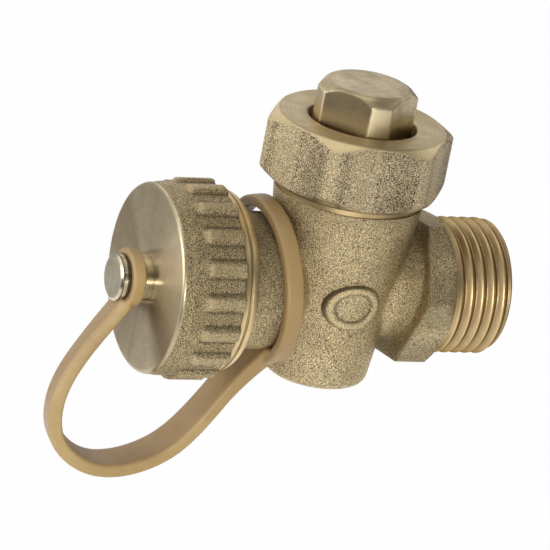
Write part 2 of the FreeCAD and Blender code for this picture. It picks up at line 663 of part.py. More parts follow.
profile = new_sketch(strap, "BandSection", "XY_Plane", {"x": eye_x, "z": -eye_mid})
half_t = S["band_thick"] / 2
half_w = S["band_width"] / 2
polygon(profile, bevelled(half_t, half_w))
band = strap.newObject("PartDesign::AdditivePipe", "Band")
band.Profile = (profile, [""])
band.Spine = (path, [""])
doc.recompute()

# Tab that widens the band until it runs into the ring.
rise_cos = math.cos(math.radians(HEAD_IN))
rise_sin = math.sin(math.radians(HEAD_IN))
tab_x = finish_at[0] - S["band_turn"] * (1 - rise_sin) - S["tab_len"] * rise_cos
tab_z = finish_at[1] - S["band_turn"] * rise_cos - S["tab_len"] * rise_sin
tip = new_sketch(strap, "TabTip", "XY_Plane", {"x": tab_x, "z": tab_z},
                 FreeCAD.Rotation(Vec(0, 1, 0), 90 - HEAD_IN))
polygon(tip, bevelled(half_t, half_w))
root = new_sketch(strap, "TabRoot", "XY_Plane", {"x": finish_at[0], "z": finish_at[1]})
polygon(root, bevelled(S["ring_thick"] / 2, half_w + S["tab_flare"]))
tab = strap.newObject("PartDesign::AdditiveLoft", "Tab")
tab.Profile = (tip, [""])
tab.Sections = [(root, [""])]
tab.Ruled = True
doc.recompute()

PARTS = [body, plug, packing, gland_ring, nut, cap, gasket, pin, strap]
doc.recompute()

for thing in doc.Objects:
    if any(flag in thing.State for flag in ("Invalid", "Error")):
        raise RuntimeError("%s did not build: %s" % (thing.Name, thing.State))
for part in PARTS:
    shape = part.Shape
    if shape.isNull() or not shape.isValid() or len(shape.Solids) != 1:
        raise RuntimeError("%s is not one sound solid" % part.Label)

os.makedirs("parts", exist_ok=True)
for part in PARTS:
    part.Shape.exportStep("parts/%s.step" % part.Label)
    box = part.Shape.BoundBox
    print("%-13s volume %8.1f  x %.2f %.2f  y %.2f %.2f  z %.2f %.2f" % (
        part.Label, part.Shape.Volume, box.XMin, box.XMax, box.YMin, box.YMax, box.ZMin, box.ZMax))
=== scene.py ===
# %% [markdown]
# # A brass drain cock
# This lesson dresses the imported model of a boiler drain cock: a cast brass body with a taper plug
# under a gland nut, a ribbed screw cap on the hose outlet, and a plastic strap that keeps the cap.
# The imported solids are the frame. Everything added here sits on them, in metres.

# %% Load the frame
import math

import bpy
import numpy as np
from mathutils import Matrix, Vector


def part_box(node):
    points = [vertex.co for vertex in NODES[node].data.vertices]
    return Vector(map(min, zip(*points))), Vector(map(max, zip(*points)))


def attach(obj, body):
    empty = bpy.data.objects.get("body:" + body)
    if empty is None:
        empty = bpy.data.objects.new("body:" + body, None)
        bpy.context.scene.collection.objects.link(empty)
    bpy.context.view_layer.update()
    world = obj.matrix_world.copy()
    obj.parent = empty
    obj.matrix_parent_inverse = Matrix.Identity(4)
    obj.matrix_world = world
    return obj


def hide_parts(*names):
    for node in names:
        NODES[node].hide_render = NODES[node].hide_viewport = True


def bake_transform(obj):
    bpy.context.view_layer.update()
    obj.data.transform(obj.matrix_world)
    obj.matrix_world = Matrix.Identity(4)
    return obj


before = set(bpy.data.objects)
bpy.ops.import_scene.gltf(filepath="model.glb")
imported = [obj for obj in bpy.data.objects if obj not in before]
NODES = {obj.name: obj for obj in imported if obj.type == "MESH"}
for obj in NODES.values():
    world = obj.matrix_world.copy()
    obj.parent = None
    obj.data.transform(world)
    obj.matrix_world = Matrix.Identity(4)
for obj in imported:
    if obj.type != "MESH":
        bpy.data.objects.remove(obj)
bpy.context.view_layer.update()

MM = 0.001
print("frame nodes:", sorted(NODES))

# %% [markdown]
# ## Surfaces as grids of numbers
# Most pieces of a valve are turned, threaded or swept, so each one is a function of two parameters.
# A grid of points is worked out in one go, and its quads follow from the grid's own numbering. The
# alternative, placing vertices one by one, is slower and harder to read.

# %% Faces of a grid


def grid_quads(rows, cols, wrap_rows=False):
    """Corner numbers of every quad of a grid whose columns go round: (i, j), (i, j+1),
    (i+1, j+1), (i+1, j)."""
    i = np.arange(rows if wrap_rows else rows - 1)[:, None]
    j = np.arange(cols)[None, :]
    down, right = (i + 1) % rows, (j + 1) % cols
    corners = np.broadcast_arrays(i * cols + j, i * cols + right,
                                  down * cols + right, down * cols + j)
    return np.stack(corners, axis=-1).reshape(-1, 4)


def halves(quads):
    """Both triangles of every quad, all the first ones and then all the second ones."""
    return np.concatenate([quads[:, [0, 1, 2]], quads[:, [0, 2, 3]]])


def facing(points, triangles):
    """1 if a closed mesh faces outwards, else -1: the sign of the volume that it encloses, which
    is one sixth of the triple products of its triangles."""
    a, b, c = (points[triangles[:, k]] for k in range(3))
    return 1 if np.einsum("ij,ij->", a, np.cross(b, c)) > 0 else -1


def closed_grid(points):
    """A grid that wraps both ways, as flat points and quads whose normals face outwards."""
    rows, cols = points.shape[:2]
    flat, quads = points.reshape(-1, 3), grid_quads(rows, cols, wrap_rows=True)
    return flat, quads[:, ::facing(flat, halves(quads))]


def capped_grid(points, first_pole, last_pole):
    """A grid that wraps round, closed at both ends by triangles to a pole, facing outwards."""
    rows, cols = points.shape[:2]
    flat = np.concatenate([points.reshape(-1, 3), [first_pole, last_pole]])
    j, last = np.arange(cols), (rows - 1) * cols
    right, pole = (j + 1) % cols, np.full(cols, rows * cols)
    quads = grid_quads(rows, cols)
    fans = np.concatenate([np.stack([right, j, pole], axis=1),
                           np.stack([last + j, last + right, pole + 1], axis=1)])
    step = facing(flat, np.concatenate([halves(quads), fans]))
    return flat, quads[:, ::step].tolist() + fans[:, ::step].tolist()


print("quads of a 3 x 4 grid that goes round:", len(grid_quads(3, 4)))

# %% From arrays to objects


def add_object(name, data):
    """A new object of the scene, at the origin."""
    item = bpy.data.objects.new(name, data)
    bpy.context.scene.collection.objects.link(item)
    return item


def set_painted_light(mesh, painted_light):
    """Per-point painted light and shade: above 0 a painted highlight, below 0 painted shade."""
    attribute = mesh.attributes.new("painted_light", "FLOAT", "POINT")
    attribute.data.foreach_set("value", painted_light.astype(np.float32).ravel())


def mesh_piece(name, points, faces, materials, zones=None, sharp_deg=None):
    """A mesh object at the origin; points are in mm, zones give each face's material number."""
    mesh = bpy.data.meshes.new(name)
    face_list = faces if isinstance(faces, list) else faces.tolist()
    mesh.from_pydata((points * MM).tolist(), [], face_list)
    for material in materials:
        mesh.materials.append(material)
    if zones is not None:
        mesh.polygons.foreach_set("material_index", np.asarray(zones, dtype=np.int32))
    mesh.shade_smooth()
    if sharp_deg:
        mesh.set_sharp_from_angle(angle=math.radians(sharp_deg))
    mesh.validate()
    print(f"{name}: {len(points)} points, {len(mesh.polygons)} faces")
    return add_object(name, mesh)


# %% Curves and steps that many pieces use


def eased(corners, radius, steps):
    """A closed polyline whose corners become short quadratic curves, start to corner to end."""
    corners = np.asarray(corners, dtype=float)
    back = np.roll(corners, 1, axis=0) - corners
    ahead = np.roll(corners, -1, axis=0) - corners
    room_b, room_a = (np.linalg.norm(v, axis=1, keepdims=True) for v in (back, ahead))
    cut = np.minimum(radius, 0.45 * np.minimum(room_b, room_a))
    start, end = corners + back / room_b * cut, corners + ahead / room_a * cut
    t = np.linspace(0, 1, steps)[None, :, None]
    start, corner, end = start[:, None], corners[:, None], end[:, None]
    return ((1 - t) ** 2 * start + 2 * t * (1 - t) * corner + t ** 2 * end).reshape(-1, 2)


def smoothstep(value, low, high):
    """0 below low, 1 above high, and the cubic 3t^2 - 2t^3 between them."""
    t = np.clip((value - low) / (high - low), 0, 1)
    return t * t * (3 - 2 * t)


def plateau(value, low, full, still, gone):
    """0 up to low, 1 from full to still, 0 again from gone on, with smooth steps between."""
    return smoothstep(value, low, full) * (1 - smoothstep(value, still, gone))


def turns(cols):
    """Evenly spaced angles of one full turn."""
    return np.linspace(0, 2 * np.pi, cols, endpoint=False)


print("a step from 0 to 4, by quarters:", smoothstep(np.arange(5), 0, 4).round(3).tolist())

# %% [markdown]
# ## Finishes that several materials share
# Cast and forged brass comes out of the shot-blast cabinet with a fine sparkling grain, turned
# brass shows fine rings from the tool. Both effects are node groups, built once and used by each
# material with its own values. They put out heights and tones only; the shaders stay in the
# materials.

# %% Small helpers for node trees


def link_in(tree, socket, value):
    """Feed a socket from another socket, or set its plain value."""
    if isinstance(value, bpy.types.NodeSocket):
        tree.links.new(value, socket)
    else:
        socket.default_value = value


def feed(tree, node, **values):
    """Feed a node's sockets by name, where an underscore stands for a space."""
    for name, value in values.items():
        link_in(tree, node.inputs[name.replace("_", " ")], value)


def math_node(tree, kind, *values, vectors=False):
    """One Math or Vector Math node; its values are sockets, numbers or triples."""
    node = tree.nodes.new("ShaderNodeVectorMath" if vectors else "ShaderNodeMath")
    node.operation = kind
    for socket, value in zip(node.inputs, values):
        link_in(tree, socket, value)
    return node.outputs[0]


def range_node(tree, value, low, high, to_low=0.0, to_high=1.0):
    """Map a value from low..high to to_low..to_high, held at both ends."""
    node = tree.nodes.new("ShaderNodeMapRange")
    feed(tree, node, Value=value, From_Min=low, From_Max=high, To_Min=to_low, To_Max=to_high)
    return node.outputs["Result"]


def noise_node(tree, vector, size_mm, detail=2.0, roughness=0.5):
    """Noise whose lumps are about size_mm across, on coordinates in metres."""
    node = tree.nodes.new("ShaderNodeTexNoise")
    feed(tree, node, Vector=vector, Scale=1 / (size_mm * MM), Detail=detail, Roughness=roughness)
    return node.outputs["Fac"]


def mix_color(tree, share, first, second):
    """Linear blend of two colours."""
    node = tree.nodes.new("ShaderNodeMix")
    node.data_type = "RGBA"
    feed(tree, node, Factor=share, A=first, B=second)
    return node.outputs["Result"]


def new_group(name, inputs, outputs):
    """An empty node group with float or vector inputs and float outputs."""
    tree = bpy.data.node_groups.new(name, "ShaderNodeTree")
    for label, kind in inputs:
        tree.interface.new_socket(label, in_out="INPUT", socket_type=kind)
    for label in outputs:
        tree.interface.new_socket(label, in_out="OUTPUT", socket_type="NodeSocketFloat")
    group_in, group_out = tree.nodes.new("NodeGroupInput"), tree.nodes.new("NodeGroupOutput")
    return tree, group_in.outputs, group_out.inputs


# %% The blasted skin of castings
PIT_MM, FINE_MM, SWELL_MM, CLOUD_MM = 0.18, 0.10, 1.6, 5.5
FINE_SHARE, SWELL_SHARE = 0.45, 0.9
skin_tree, skin_in, skin_out = new_group(
    "BlastedSkin", [("Vector", "NodeSocketVector")], ["Height", "Speckle", "Cloud"])
pits = noise_node(skin_tree, skin_in["Vector"], PIT_MM, 2.0, 0.6)
fine = noise_node(skin_tree, skin_in["Vector"], FINE_MM, 1.0)
swell = noise_node(skin_tree, skin_in["Vector"], SWELL_MM, 2.0)
fine_part = math_node(skin_tree, "MULTIPLY", fine, FINE_SHARE)
swell_part = math_node(skin_tree, "MULTIPLY", swell, SWELL_SHARE)
rough_sum = math_node(skin_tree, "ADD", pits, fine_part)
link_in(skin_tree, skin_out["Height"], math_node(skin_tree, "ADD", rough_sum, swell_part))
link_in(skin_tree, skin_out["Speckle"], range_node(skin_tree, pits, 0.30, 0.70))
cloud = noise_node(skin_tree, skin_in["Vector"], CLOUD_MM, 3.0)
link_in(skin_tree, skin_out["Cloud"], range_node(skin_tree, cloud, 0.35, 0.65))
print("blasted skin puts out:", [socket.name for socket in skin_out if socket.name])

# %% The fine rings that a lathe leaves
RING_MM, BAND_MM = 0.16, 0.55
lathe_tree, lathe_in, lathe_out = new_group(
    "LatheRings", [("Along", "NodeSocketFloat")], ["Height", "Tone"])


def ring_noise(pitch_mm, detail):
    """One-dimensional noise along the cut, so that every ring goes right round."""
    node = lathe_tree.nodes.new("ShaderNodeTexNoise")
    node.noise_dimensions = "1D"
    feed(lathe_tree, node, W=lathe_in["Along"], Scale=1 / (pitch_mm * MM), Detail=detail)
    return node.outputs["Fac"]


link_in(lathe_tree, lathe_out["Height"], ring_noise(RING_MM, 2.0))
link_in(lathe_tree, lathe_out["Tone"], range_node(lathe_tree, ring_noise(BAND_MM, 3.0), 0.3, 0.7))
print("node groups:", [tree.name for tree in bpy.data.node_groups])

# %% [markdown]
# ## The brass materials
# Every brass is a metal whose colour drifts between two tints. One recipe adds the blasted skin,
# the other the lathe rings, both as bump. The rings follow the distance along the turning axis plus
# the distance from it, so the same recipe works on a face and on a cylinder. A tone attribute on
# the pieces paints light and shade into the colour: painted highlights on edges, crests and rims,
# painted shade in recesses, creases and on faces turned from the light. Painting that by hand
# would also do, but a formula follows the shape when its sizes change.

# %% Parts that the materials are made of


def object_vector(tree):
    """Object coordinates: every piece sits at the origin, so these are the frame's, in metres."""
    return tree.nodes.new("ShaderNodeTexCoord").outputs["Object"]


def split_xyz(tree, vector):
    """The X, Y and Z of a vector, as sockets by name."""
    node = tree.nodes.new("ShaderNodeSeparateXYZ")
    link_in(tree, node.inputs[0], vector)
    return node.outputs


def new_material(name):
    """A material with one Principled shader on its output."""
    material = bpy.data.materials.new(name)
    material.use_nodes = True
    tree = material.node_tree
    return material, tree, tree.nodes["Principled BSDF"]


def place_group(tree, group, **values):
    """Put a shared group into a material's tree, with its own values, and give its outputs."""
    node = tree.nodes.new("ShaderNodeGroup")
    node.node_tree = group
    feed(tree, node, **values)
    return node.outputs


def bump_node(tree, height, depth_mm, normal=None):
    """Normals bent by a height, where a height of 1 is depth_mm deep."""
    node = tree.nodes.new("ShaderNodeBump")
    feed(tree, node, Height=height, Distance=depth_mm * MM, Strength=1.0)
    if normal is not None:
        feed(tree, node, Normal=normal)
    return node.outputs["Normal"]


def soft_edges(tree, radius_mm):
    """Normals that round an edge over a small radius, as tumbling and handling do."""
    node = tree.nodes.new("ShaderNodeBevel")
    node.samples = 6
    feed(tree, node, Radius=radius_mm * MM)
    return node.outputs[0]


# %% Painted light and shade from the relief attribute
# How dark painted shade gets, as a share of the darker tint.
PAINTED_SHADE_FACTOR = 0.25


def shade(color, factor):
    """A colour made darker or lighter by one factor."""
    return tuple(min(1.0, c * factor) for c in color[:3]) + (1.0,)


def painted_light_value(tree):
    """The relief attribute of the piece, 0 where it has none."""
    node = tree.nodes.new("ShaderNodeAttribute")
    node.attribute_name = "painted_light"
    return node.outputs["Fac"]


def paint_light_and_shade(tree, color, light, dark):
    """Tint by the relief attribute: towards light for a painted highlight, towards dark for painted
    shade.
    """
    painted_light = painted_light_value(tree)
    low = mix_color(tree, range_node(tree, painted_light, 0, -1), color, dark)
    return mix_color(tree, range_node(tree, painted_light, 0, 1), low, light)


# %% Blasted brass


def cast_brass(name, light, dark, roughness=0.46, depth_mm=0.16, soft_mm=0.7, contrast=0.75):
    """Blasted casting: dark pits, bright crests, drifting tint, edges softened by a bevel."""
    material, tree, shader = new_material(name)
    skin = place_group(tree, skin_tree, Vector=object_vector(tree))
    speckle = skin["Speckle"]
    tint = mix_color(tree, skin["Cloud"], light, dark)
    pitted = mix_color(tree, range_node(tree, speckle, 0.2, 0.5), shade(dark, 1 - contrast), tint)
    crests = range_node(tree, speckle, 0.52, 0.85, 0.0, 0.95)
    grain = mix_color(tree, crests, pitted, shade(light, 1 + contrast * 0.8))
    # The relief attribute paints highlights towards 1.5 times the light tint and shade towards a
    # darkened dark tint.
    feed(tree, shader, Metallic=1.0,
         Base_Color=paint_light_and_shade(tree, grain, shade(light, 1.5), shade(dark, PAINTED_SHADE_FACTOR)),
         Roughness=range_node(tree, speckle, 0, 1, roughness + 0.10, roughness - 0.06),
         Normal=bump_node(tree, skin["Height"], depth_mm, soft_edges(tree, soft_mm)))
    return material


BODY_CAST = cast_brass("cast_brass_body", (0.65, 0.525, 0.31, 1), (0.535, 0.41, 0.225, 1),
                       soft_mm=1.3, contrast=0.68)
NUT_CAST = cast_brass("blasted_brass_nut", (0.57, 0.46, 0.29, 1), (0.46, 0.36, 0.215, 1),
                      roughness=0.44, depth_mm=0.22, soft_mm=0.4, contrast=0.97)
CAP_CAST = cast_brass("blasted_brass_cap", (0.48, 0.38, 0.22, 1), (0.38, 0.295, 0.16, 1),
                      soft_mm=0.3)
print("blasted:", [material.name for material in (BODY_CAST, NUT_CAST, CAP_CAST)])

# %% Turned brass
# Widths in mm of the soft edges of painted shade lines and of a painted highlight.
SHADE_LINE_EDGE, HIGHLIGHT_EDGE = 0.06, 0.12


def along_cut(tree, vector, axis, centre):
    """Distance along the turning axis plus distance from it, then the latter alone, in metres."""
    parts = split_xyz(tree, math_node(tree, "SUBTRACT", vector, centre, vectors=True))
    squares = [math_node(tree, "MULTIPLY", parts[k], parts[k]) for k in "XYZ" if k != axis]
    radius = math_node(tree, "SQRT", math_node(tree, "ADD", *squares))
    return math_node(tree, "ADD", parts[axis], radius), radius


def radial_reflection_fans(tree, vector):
    """Painted reflection streaks: broad uneven fans about the pipe axis, noise of the direction that
    points away from it.
    """
    flat = math_node(tree, "MULTIPLY", vector, (0, 1, 1), vectors=True)
    aim = math_node(tree, "NORMALIZE", flat, vectors=True)
    fans = noise_node(tree, aim, 700.0, 5.0, 0.65)
    return range_node(tree, fans, 0.42, 0.66, 0.0, 0.75)


def turned_brass(name, light, dark, axis, centre, roughness=0.36, depth_mm=0.003, anisotropy=0.6,
                 soft_mm=0.2, reflection_streaks=None, shade_lines=(), highlight_from=None, film=None):
    """Turned brass: fine rings, slight tone bands, anisotropic gloss round the axis, and the relief
    attribute's painted light and shade. Optional are streaks (a colour painted in radial fans, a
    painted reflection), grime (painted shade lines, from and to along the cut, mm), highlight_from
    (a radius in mm beyond which a highlight is painted) and film (the tint that an oil film gives to
    glancing reflections)."""
    material, tree, shader = new_material(name)
    vector = object_vector(tree)
    along, radius = along_cut(tree, vector, axis, centre)
    rings = place_group(tree, lathe_tree, Along=along)
    wear = range_node(tree, noise_node(tree, vector, 2.4, 4.0), 0.35, 0.7)
    tone = math_node(tree, "ADD", math_node(tree, "MULTIPLY", rings["Tone"], 0.35),
                     math_node(tree, "MULTIPLY", wear, 0.65))
    bands = mix_color(tree, tone, light, dark)
    # Painted reflection: darker radial fans on a turned face.
    if reflection_streaks:
        bands = mix_color(tree, radial_reflection_fans(tree, vector), bands, reflection_streaks)
    # Painted shade lines: thin dark rings at given spans along the cut.
    for low, high in shade_lines:
        start = range_node(tree, along, (low - SHADE_LINE_EDGE) * MM, low * MM)
        end = range_node(tree, along, high * MM, (high + SHADE_LINE_EDGE) * MM, 1.0, 0.0)
        line = math_node(tree, "MULTIPLY", start, end)
        bands = mix_color(tree, line, bands, shade(dark, PAINTED_SHADE_FACTOR))
    # A painted highlight: lighter beyond a radius.
    if highlight_from:
        corner_highlight = range_node(tree, radius, (highlight_from - HIGHLIGHT_EDGE) * MM, highlight_from * MM)
        bands = mix_color(tree, corner_highlight, bands, shade(light, 1.22))
    if film:
        feed(tree, shader, Specular_Tint=film)
    tangent = tree.nodes.new("ShaderNodeTangent")
    tangent.direction_type, tangent.axis = "RADIAL", axis
    # The relief attribute paints highlights towards 1.4 times the light tint and shade towards a
    # darkened dark tint.
    feed(tree, shader, Metallic=1.0, Anisotropic=anisotropy, Anisotropic_Rotation=0.25,
         Tangent=tangent.outputs[0],
         Base_Color=paint_light_and_shade(tree, bands, shade(light, 1.4), shade(dark, PAINTED_SHADE_FACTOR)),
         Roughness=range_node(tree, tone, 0, 1, roughness - 0.05, roughness + 0.07),
         Normal=bump_node(tree, rings["Height"], depth_mm, soft_edges(tree, soft_mm)))
    return material


# %% The turned brasses of this valve
PIPE, PLUG_AXIS = ("X", (0.0, 0.0, 0.0)), ("Z", (-0.0164, 0.0, 0.0))
HEAD_CORNER_R = 7.7  # mm from the plug axis to the square head's rounded corners
# The pin's dark lines are painted shade at the rim of its head and at the gap to the eye.
PIN_SHADE_LINES = ((-48.70, -48.55), (-47.95, -47.75))  # mm along the cut: dark lines on the pin
THREAD_TURNED = turned_brass(
    "turned_brass_thread", (0.65, 0.485, 0.26, 1), (0.53, 0.375, 0.19, 1), *PIPE,
    roughness=0.42, depth_mm=0.006, anisotropy=0.0, film=(0.05, 0.035, 0.02, 1))
NUT_TURNED = turned_brass(
    "turned_brass_nut", (0.53, 0.425, 0.24, 1), (0.44, 0.34, 0.18, 1), *PLUG_AXIS, roughness=0.40)
# The plug's square head gets a painted highlight on its rounded corners.
PLUG_TURNED = turned_brass(
    "turned_brass_plug", (0.57, 0.465, 0.29, 1), (0.345, 0.26, 0.142, 1), *PLUG_AXIS,
    roughness=0.34, anisotropy=0.0, soft_mm=0.45, highlight_from=HEAD_CORNER_R - 0.1)
# The cap's face gets painted reflection streaks: darker radial fans.
CAP_TURNED = turned_brass(
    "turned_brass_cap", (0.58, 0.49, 0.325, 1), (0.44, 0.36, 0.225, 1), *PIPE,
    roughness=0.34, anisotropy=0.75, reflection_streaks=(0.34, 0.25, 0.16, 1))
LIP_TURNED = turned_brass(
    "turned_brass_lip", (0.90, 0.70, 0.38, 1), (0.74, 0.55, 0.28, 1), *PIPE,
    roughness=0.42, depth_mm=0.004, anisotropy=0.2)
PIN_TURNED = turned_brass(
    "bright_brass_pin", (0.82, 0.75, 0.58, 1), (0.56, 0.48, 0.33, 1), *PIPE,
    roughness=0.2, shade_lines=PIN_SHADE_LINES)
RING_TURNED = turned_brass(
    "turned_brass_gland", (0.56, 0.44, 0.25, 1), (0.46, 0.35, 0.18, 1), *PLUG_AXIS)
print("brass materials:", [m.name for m in bpy.data.materials if "brass" in m.name])

# %% [markdown]
# ## The cast body with its two pipe threads
# The body is one casting; its pipe threads are cut on a lathe afterwards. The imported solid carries
# them as plain cylinders. Here the solid's own surface is copied, its thread cylinders are left
# out, and helical threads take their place. Rolling a curve with a Screw modifier would also do,
# but a formula keeps the ends exactly where the solid's faces are.

# %% Copy the casting without its plain thread walls
THREAD_PITCH, THREAD_DEPTH, LEAD_IN = 1.814, 0.72, 0.8
BOILER_R, BOILER_FROM, BOILER_TO = 10.4775, 0.0, 9.7
HOSE_R, HOSE_FROM, HOSE_TO = 13.2205, -44.1, -35.8
NEAR, LEVEL = 0.02, 0.001  # mm: what counts as on a wall, and as at one x


def cad_triangles(node):
    """Points in mm, triangles and corner normals of a copy of a frame node, its doubles merged."""
    mesh = NODES[node].data
    points = np.empty(len(mesh.vertices) * 3)
    mesh.vertices.foreach_get("co", points)
    corners = np.empty(len(mesh.loops), dtype=np.int32)
    mesh.loops.foreach_get("vertex_index", corners)
    normals = np.empty(len(mesh.loops) * 3)
    mesh.corner_normals.foreach_get("vector", normals)
    merged, place = np.unique(np.round(points.reshape(-1, 3) / MM, 4), axis=0, return_inverse=True)
    triangles = place.reshape(-1)[corners].reshape(-1, 3)
    whole = (np.diff(np.sort(triangles, axis=1), axis=1) > 0).all(axis=1)
    return merged, triangles[whole], normals.reshape(-1, 3, 3)[whole]


body_points, body_tris, body_normals = cad_triangles("valve_body")
tri = body_points[body_tris]
tri_x, tri_r = tri[..., 0], np.hypot(tri[..., 1], tri[..., 2])


def thread_wall(radius, start, end):
    """Which triangles lie on a plain thread wall and its lead-in cones, not on its end faces."""
    on_wall = ((tri_r > radius - LEAD_IN - NEAR) & (tri_r < radius + NEAR)).all(axis=1)
    inside = ((tri_x > start - NEAR) & (tri_x < end + NEAR)).all(axis=1)
    return on_wall & inside & (np.ptp(tri_x, axis=1) > LEVEL)


kept = ~(thread_wall(BOILER_R, BOILER_FROM, BOILER_TO) | thread_wall(HOSE_R, HOSE_FROM, HOSE_TO))
print("casting triangles kept:", int(kept.sum()), "of", len(kept))

# %% The helical thread


def thread_grid(radius, start, end, lead_start, lead_end, runout, rows=150, cols=220):
    """Grid of a right-hand thread about X: the helix phase p = 2 pi (x / pitch) - angle gives a
    triangle wave asin(cos p), part of it goes through a smooth step to round crests and roots, and
    the result is cut by lead-in cones and fades out at the runout end."""
    x, angle = np.linspace(start, end, rows)[:, None], turns(cols)[None, :]
    triangle = np.arcsin(np.cos(2 * np.pi * x / THREAD_PITCH - angle)) * 2 / np.pi
    depth = THREAD_DEPTH * smoothstep(np.abs(x - runout), 0.3, 1.3)
    flank = 0.5 * (triangle + 1) / 2 + 0.5 * smoothstep(triangle, -1.0, 0.9)
    r = radius - depth * (1 - flank)
    cone = np.minimum(radius - lead_start + (x - start), radius - lead_end + (end - x))
    closing = smoothstep(np.minimum(x - start, end - x), 0.0, 0.12)
    rim = np.minimum(cone, radius)
    r = rim + (np.minimum(r, rim) - rim) * closing
    return np.stack([np.broadcast_to(x, r.shape), r * np.cos(angle), r * np.sin(angle)], axis=-1)


def grid_normals(points):
    """Unit normals of a grid that wraps in its second direction, from its two tangents."""
    along = np.gradient(points, axis=0)
    around = np.roll(points, -1, axis=1) - np.roll(points, 1, axis=1)
    normal = np.cross(around, along)
    return normal / np.linalg.norm(normal, axis=-1, keepdims=True)


boiler_grid = thread_grid(BOILER_R, BOILER_FROM, BOILER_TO, 0, LEAD_IN, BOILER_FROM)
hose_grid = thread_grid(HOSE_R, HOSE_FROM, HOSE_TO, LEAD_IN, LEAD_IN, HOSE_TO, rows=130, cols=240)
print("thread depth, mm:", THREAD_DEPTH)

# %% Strips that close the seams


def ring_order(points, x, radius):
    """Numbers of the points on a circle about the pipe, sorted by angle, and those angles."""
    r = np.hypot(points[:, 1], points[:, 2])
    on = np.flatnonzero((np.abs(points[:, 0] - x) < 0.002) & (np.abs(r - radius) < 0.002))
    angle = np.arctan2(points[on, 2], points[on, 1]) % (2 * np.pi)
    order = np.argsort(angle)
    return on[order], angle[order]


def zip_rings(first, first_angle, second, second_angle):
    """Triangles between two rings: each point, taken by angle, closes one with the last two met."""
    order = np.argsort(np.concatenate([first_angle, second_angle]), kind="stable")
    from_first = order < len(first)
    i, j = np.cumsum(from_first) - 1, np.cumsum(~from_first) - 1
    third = np.where(from_first, first[i - 1], second[j - 1])
    return np.where(from_first[:, None], np.stack([third, first[i], second[j]], axis=1),
                    np.stack([first[i], second[j], third], axis=1))


# %% Machined faces and painted light and shade of the casting
PLUG_X, BARREL_R, BARREL_TAPER = -16.4, 9.73, 0.12
BORE_R, BORE_GAP = 7.05, 6.0  # mm: the waterway, and how near it comes to the plug axis
SEAT_WALL, SEAT_FLOOR, LAND_Z = 0.9, -12.7, 14.8  # mm: inside of the barrel, and its top land


def turned_zones(middle):
    """Which triangles of the casting are machined: bores, stuffing box, land, thread ends."""
    x, z = middle[:, 0], middle[:, 2]
    r_pipe, r_plug = np.hypot(middle[:, 1], z), np.hypot(x - PLUG_X, middle[:, 1])
    bored = (r_pipe < BORE_R) & (np.abs(x - PLUG_X) > BORE_GAP)
    seat = (r_plug < BARREL_R - SEAT_WALL + BARREL_TAPER * z) & (z > SEAT_FLOOR)
    threaded = (x > BOILER_FROM - 0.02) | (x < HOSE_TO + 0.1)
    return bored | seat | (z > LAND_Z - 0.01) | threaded


def body_light_and_shade(points):
    """Painted shade on the neck behind the cap, darker towards its top, on the land under the nut,
    on the port hexagon and the flare beside it and in the thread's roots; painted highlights on the
    thread's crests: steps of x, of z and of the radius r."""
    x, z, r = points[:, 0], points[:, 2], np.hypot(points[:, 1], points[:, 2])
    neck = plateau(x, -36.5, -35.5, -29.5, -27.0) * (r < 11)
    shade_amount = 0.45 * neck * (1 + 0.9 * np.clip(z / 8.0, -0.4, 1.2))
    crest = smoothstep(r, BOILER_R - 0.14, BOILER_R - 0.02)
    root = 1 - smoothstep(r, BOILER_R - THREAD_DEPTH, BOILER_R - 0.3)
    thread = smoothstep(x, 0.3, 1.0) * (1.4 * crest - 1.5 * root) * (r > 9.4)
    land = smoothstep(z, LAND_Z - 0.2, LAND_Z)
    hexagon = smoothstep(x, -10.0, -8.5) * smoothstep(r, 10.7, 11.0)
    port_neck = plateau(x, -10.5, -9.0, -2.0, -1.0) * (r > 7.2) * (r < 10.5)
    flare = 0.03 + 0.3 * smoothstep(x, -8.2, -6.2)
    return 0.3 * thread - shade_amount - 0.25 * land - 0.42 * hexagon - flare * port_neck


# %% Put casting and threads together


def join_body():
    """Kept triangles of the casting, both thread grids, and the strips that close their seams."""
    points, faces, normals = [body_points], [body_tris[kept]], [body_normals[kept].reshape(-1, 3)]
    count = len(body_points)
    for grid in (boiler_grid, hose_grid):
        rows, cols = grid.shape[:2]
        flat, ids = grid.reshape(-1, 3), count + np.arange(rows * cols).reshape(rows, cols)
        triangles = halves(grid_quads(rows, cols))
        faces.append(triangles + count)
        normals.append(grid_normals(grid).reshape(-1, 3)[triangles].reshape(-1, 3))
        for row in (0, rows - 1):
            x, radius = grid[row, 0, 0], np.hypot(*grid[row, 0, 1:])
            own, own_angle = ring_order(body_points, x, radius)
            strip = zip_rings(own, own_angle, ids[row], turns(cols))
            faces.append(strip if row == 0 else strip[:, ::-1])
            outward = -1.0 if x < HOSE_FROM + 1 else 1.0
            normals.append(np.tile([outward, 0.0, 0.0], (3 * len(strip), 1)))
            print(f"seam at x {x:.1f} mm: {len(own)} points of the casting, {cols} of the thread")
        points.append(flat)
        count += len(flat)
    machined = sum(len(f) for f in faces[1:])
    zones = np.concatenate([turned_zones(tri[kept].mean(axis=1)), np.ones(machined, dtype=bool)])
    mesh = bpy.data.meshes.new("body_casting")
    mesh.from_pydata((np.concatenate(points) * MM).tolist(), [], np.concatenate(faces).tolist())
    mesh.materials.append(BODY_CAST)
    mesh.materials.append(THREAD_TURNED)
    mesh.polygons.foreach_set("material_index", zones.astype(np.int32))
    mesh.shade_smooth()
    mesh.normals_split_custom_set(np.concatenate(normals).tolist())
    set_painted_light(mesh, body_light_and_shade(np.concatenate(points)))
    return add_object("body_casting", mesh)


body_casting = join_body()
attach(body_casting, "valve")
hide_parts("valve_body")
print("body_casting faces:", len(body_casting.data.polygons))

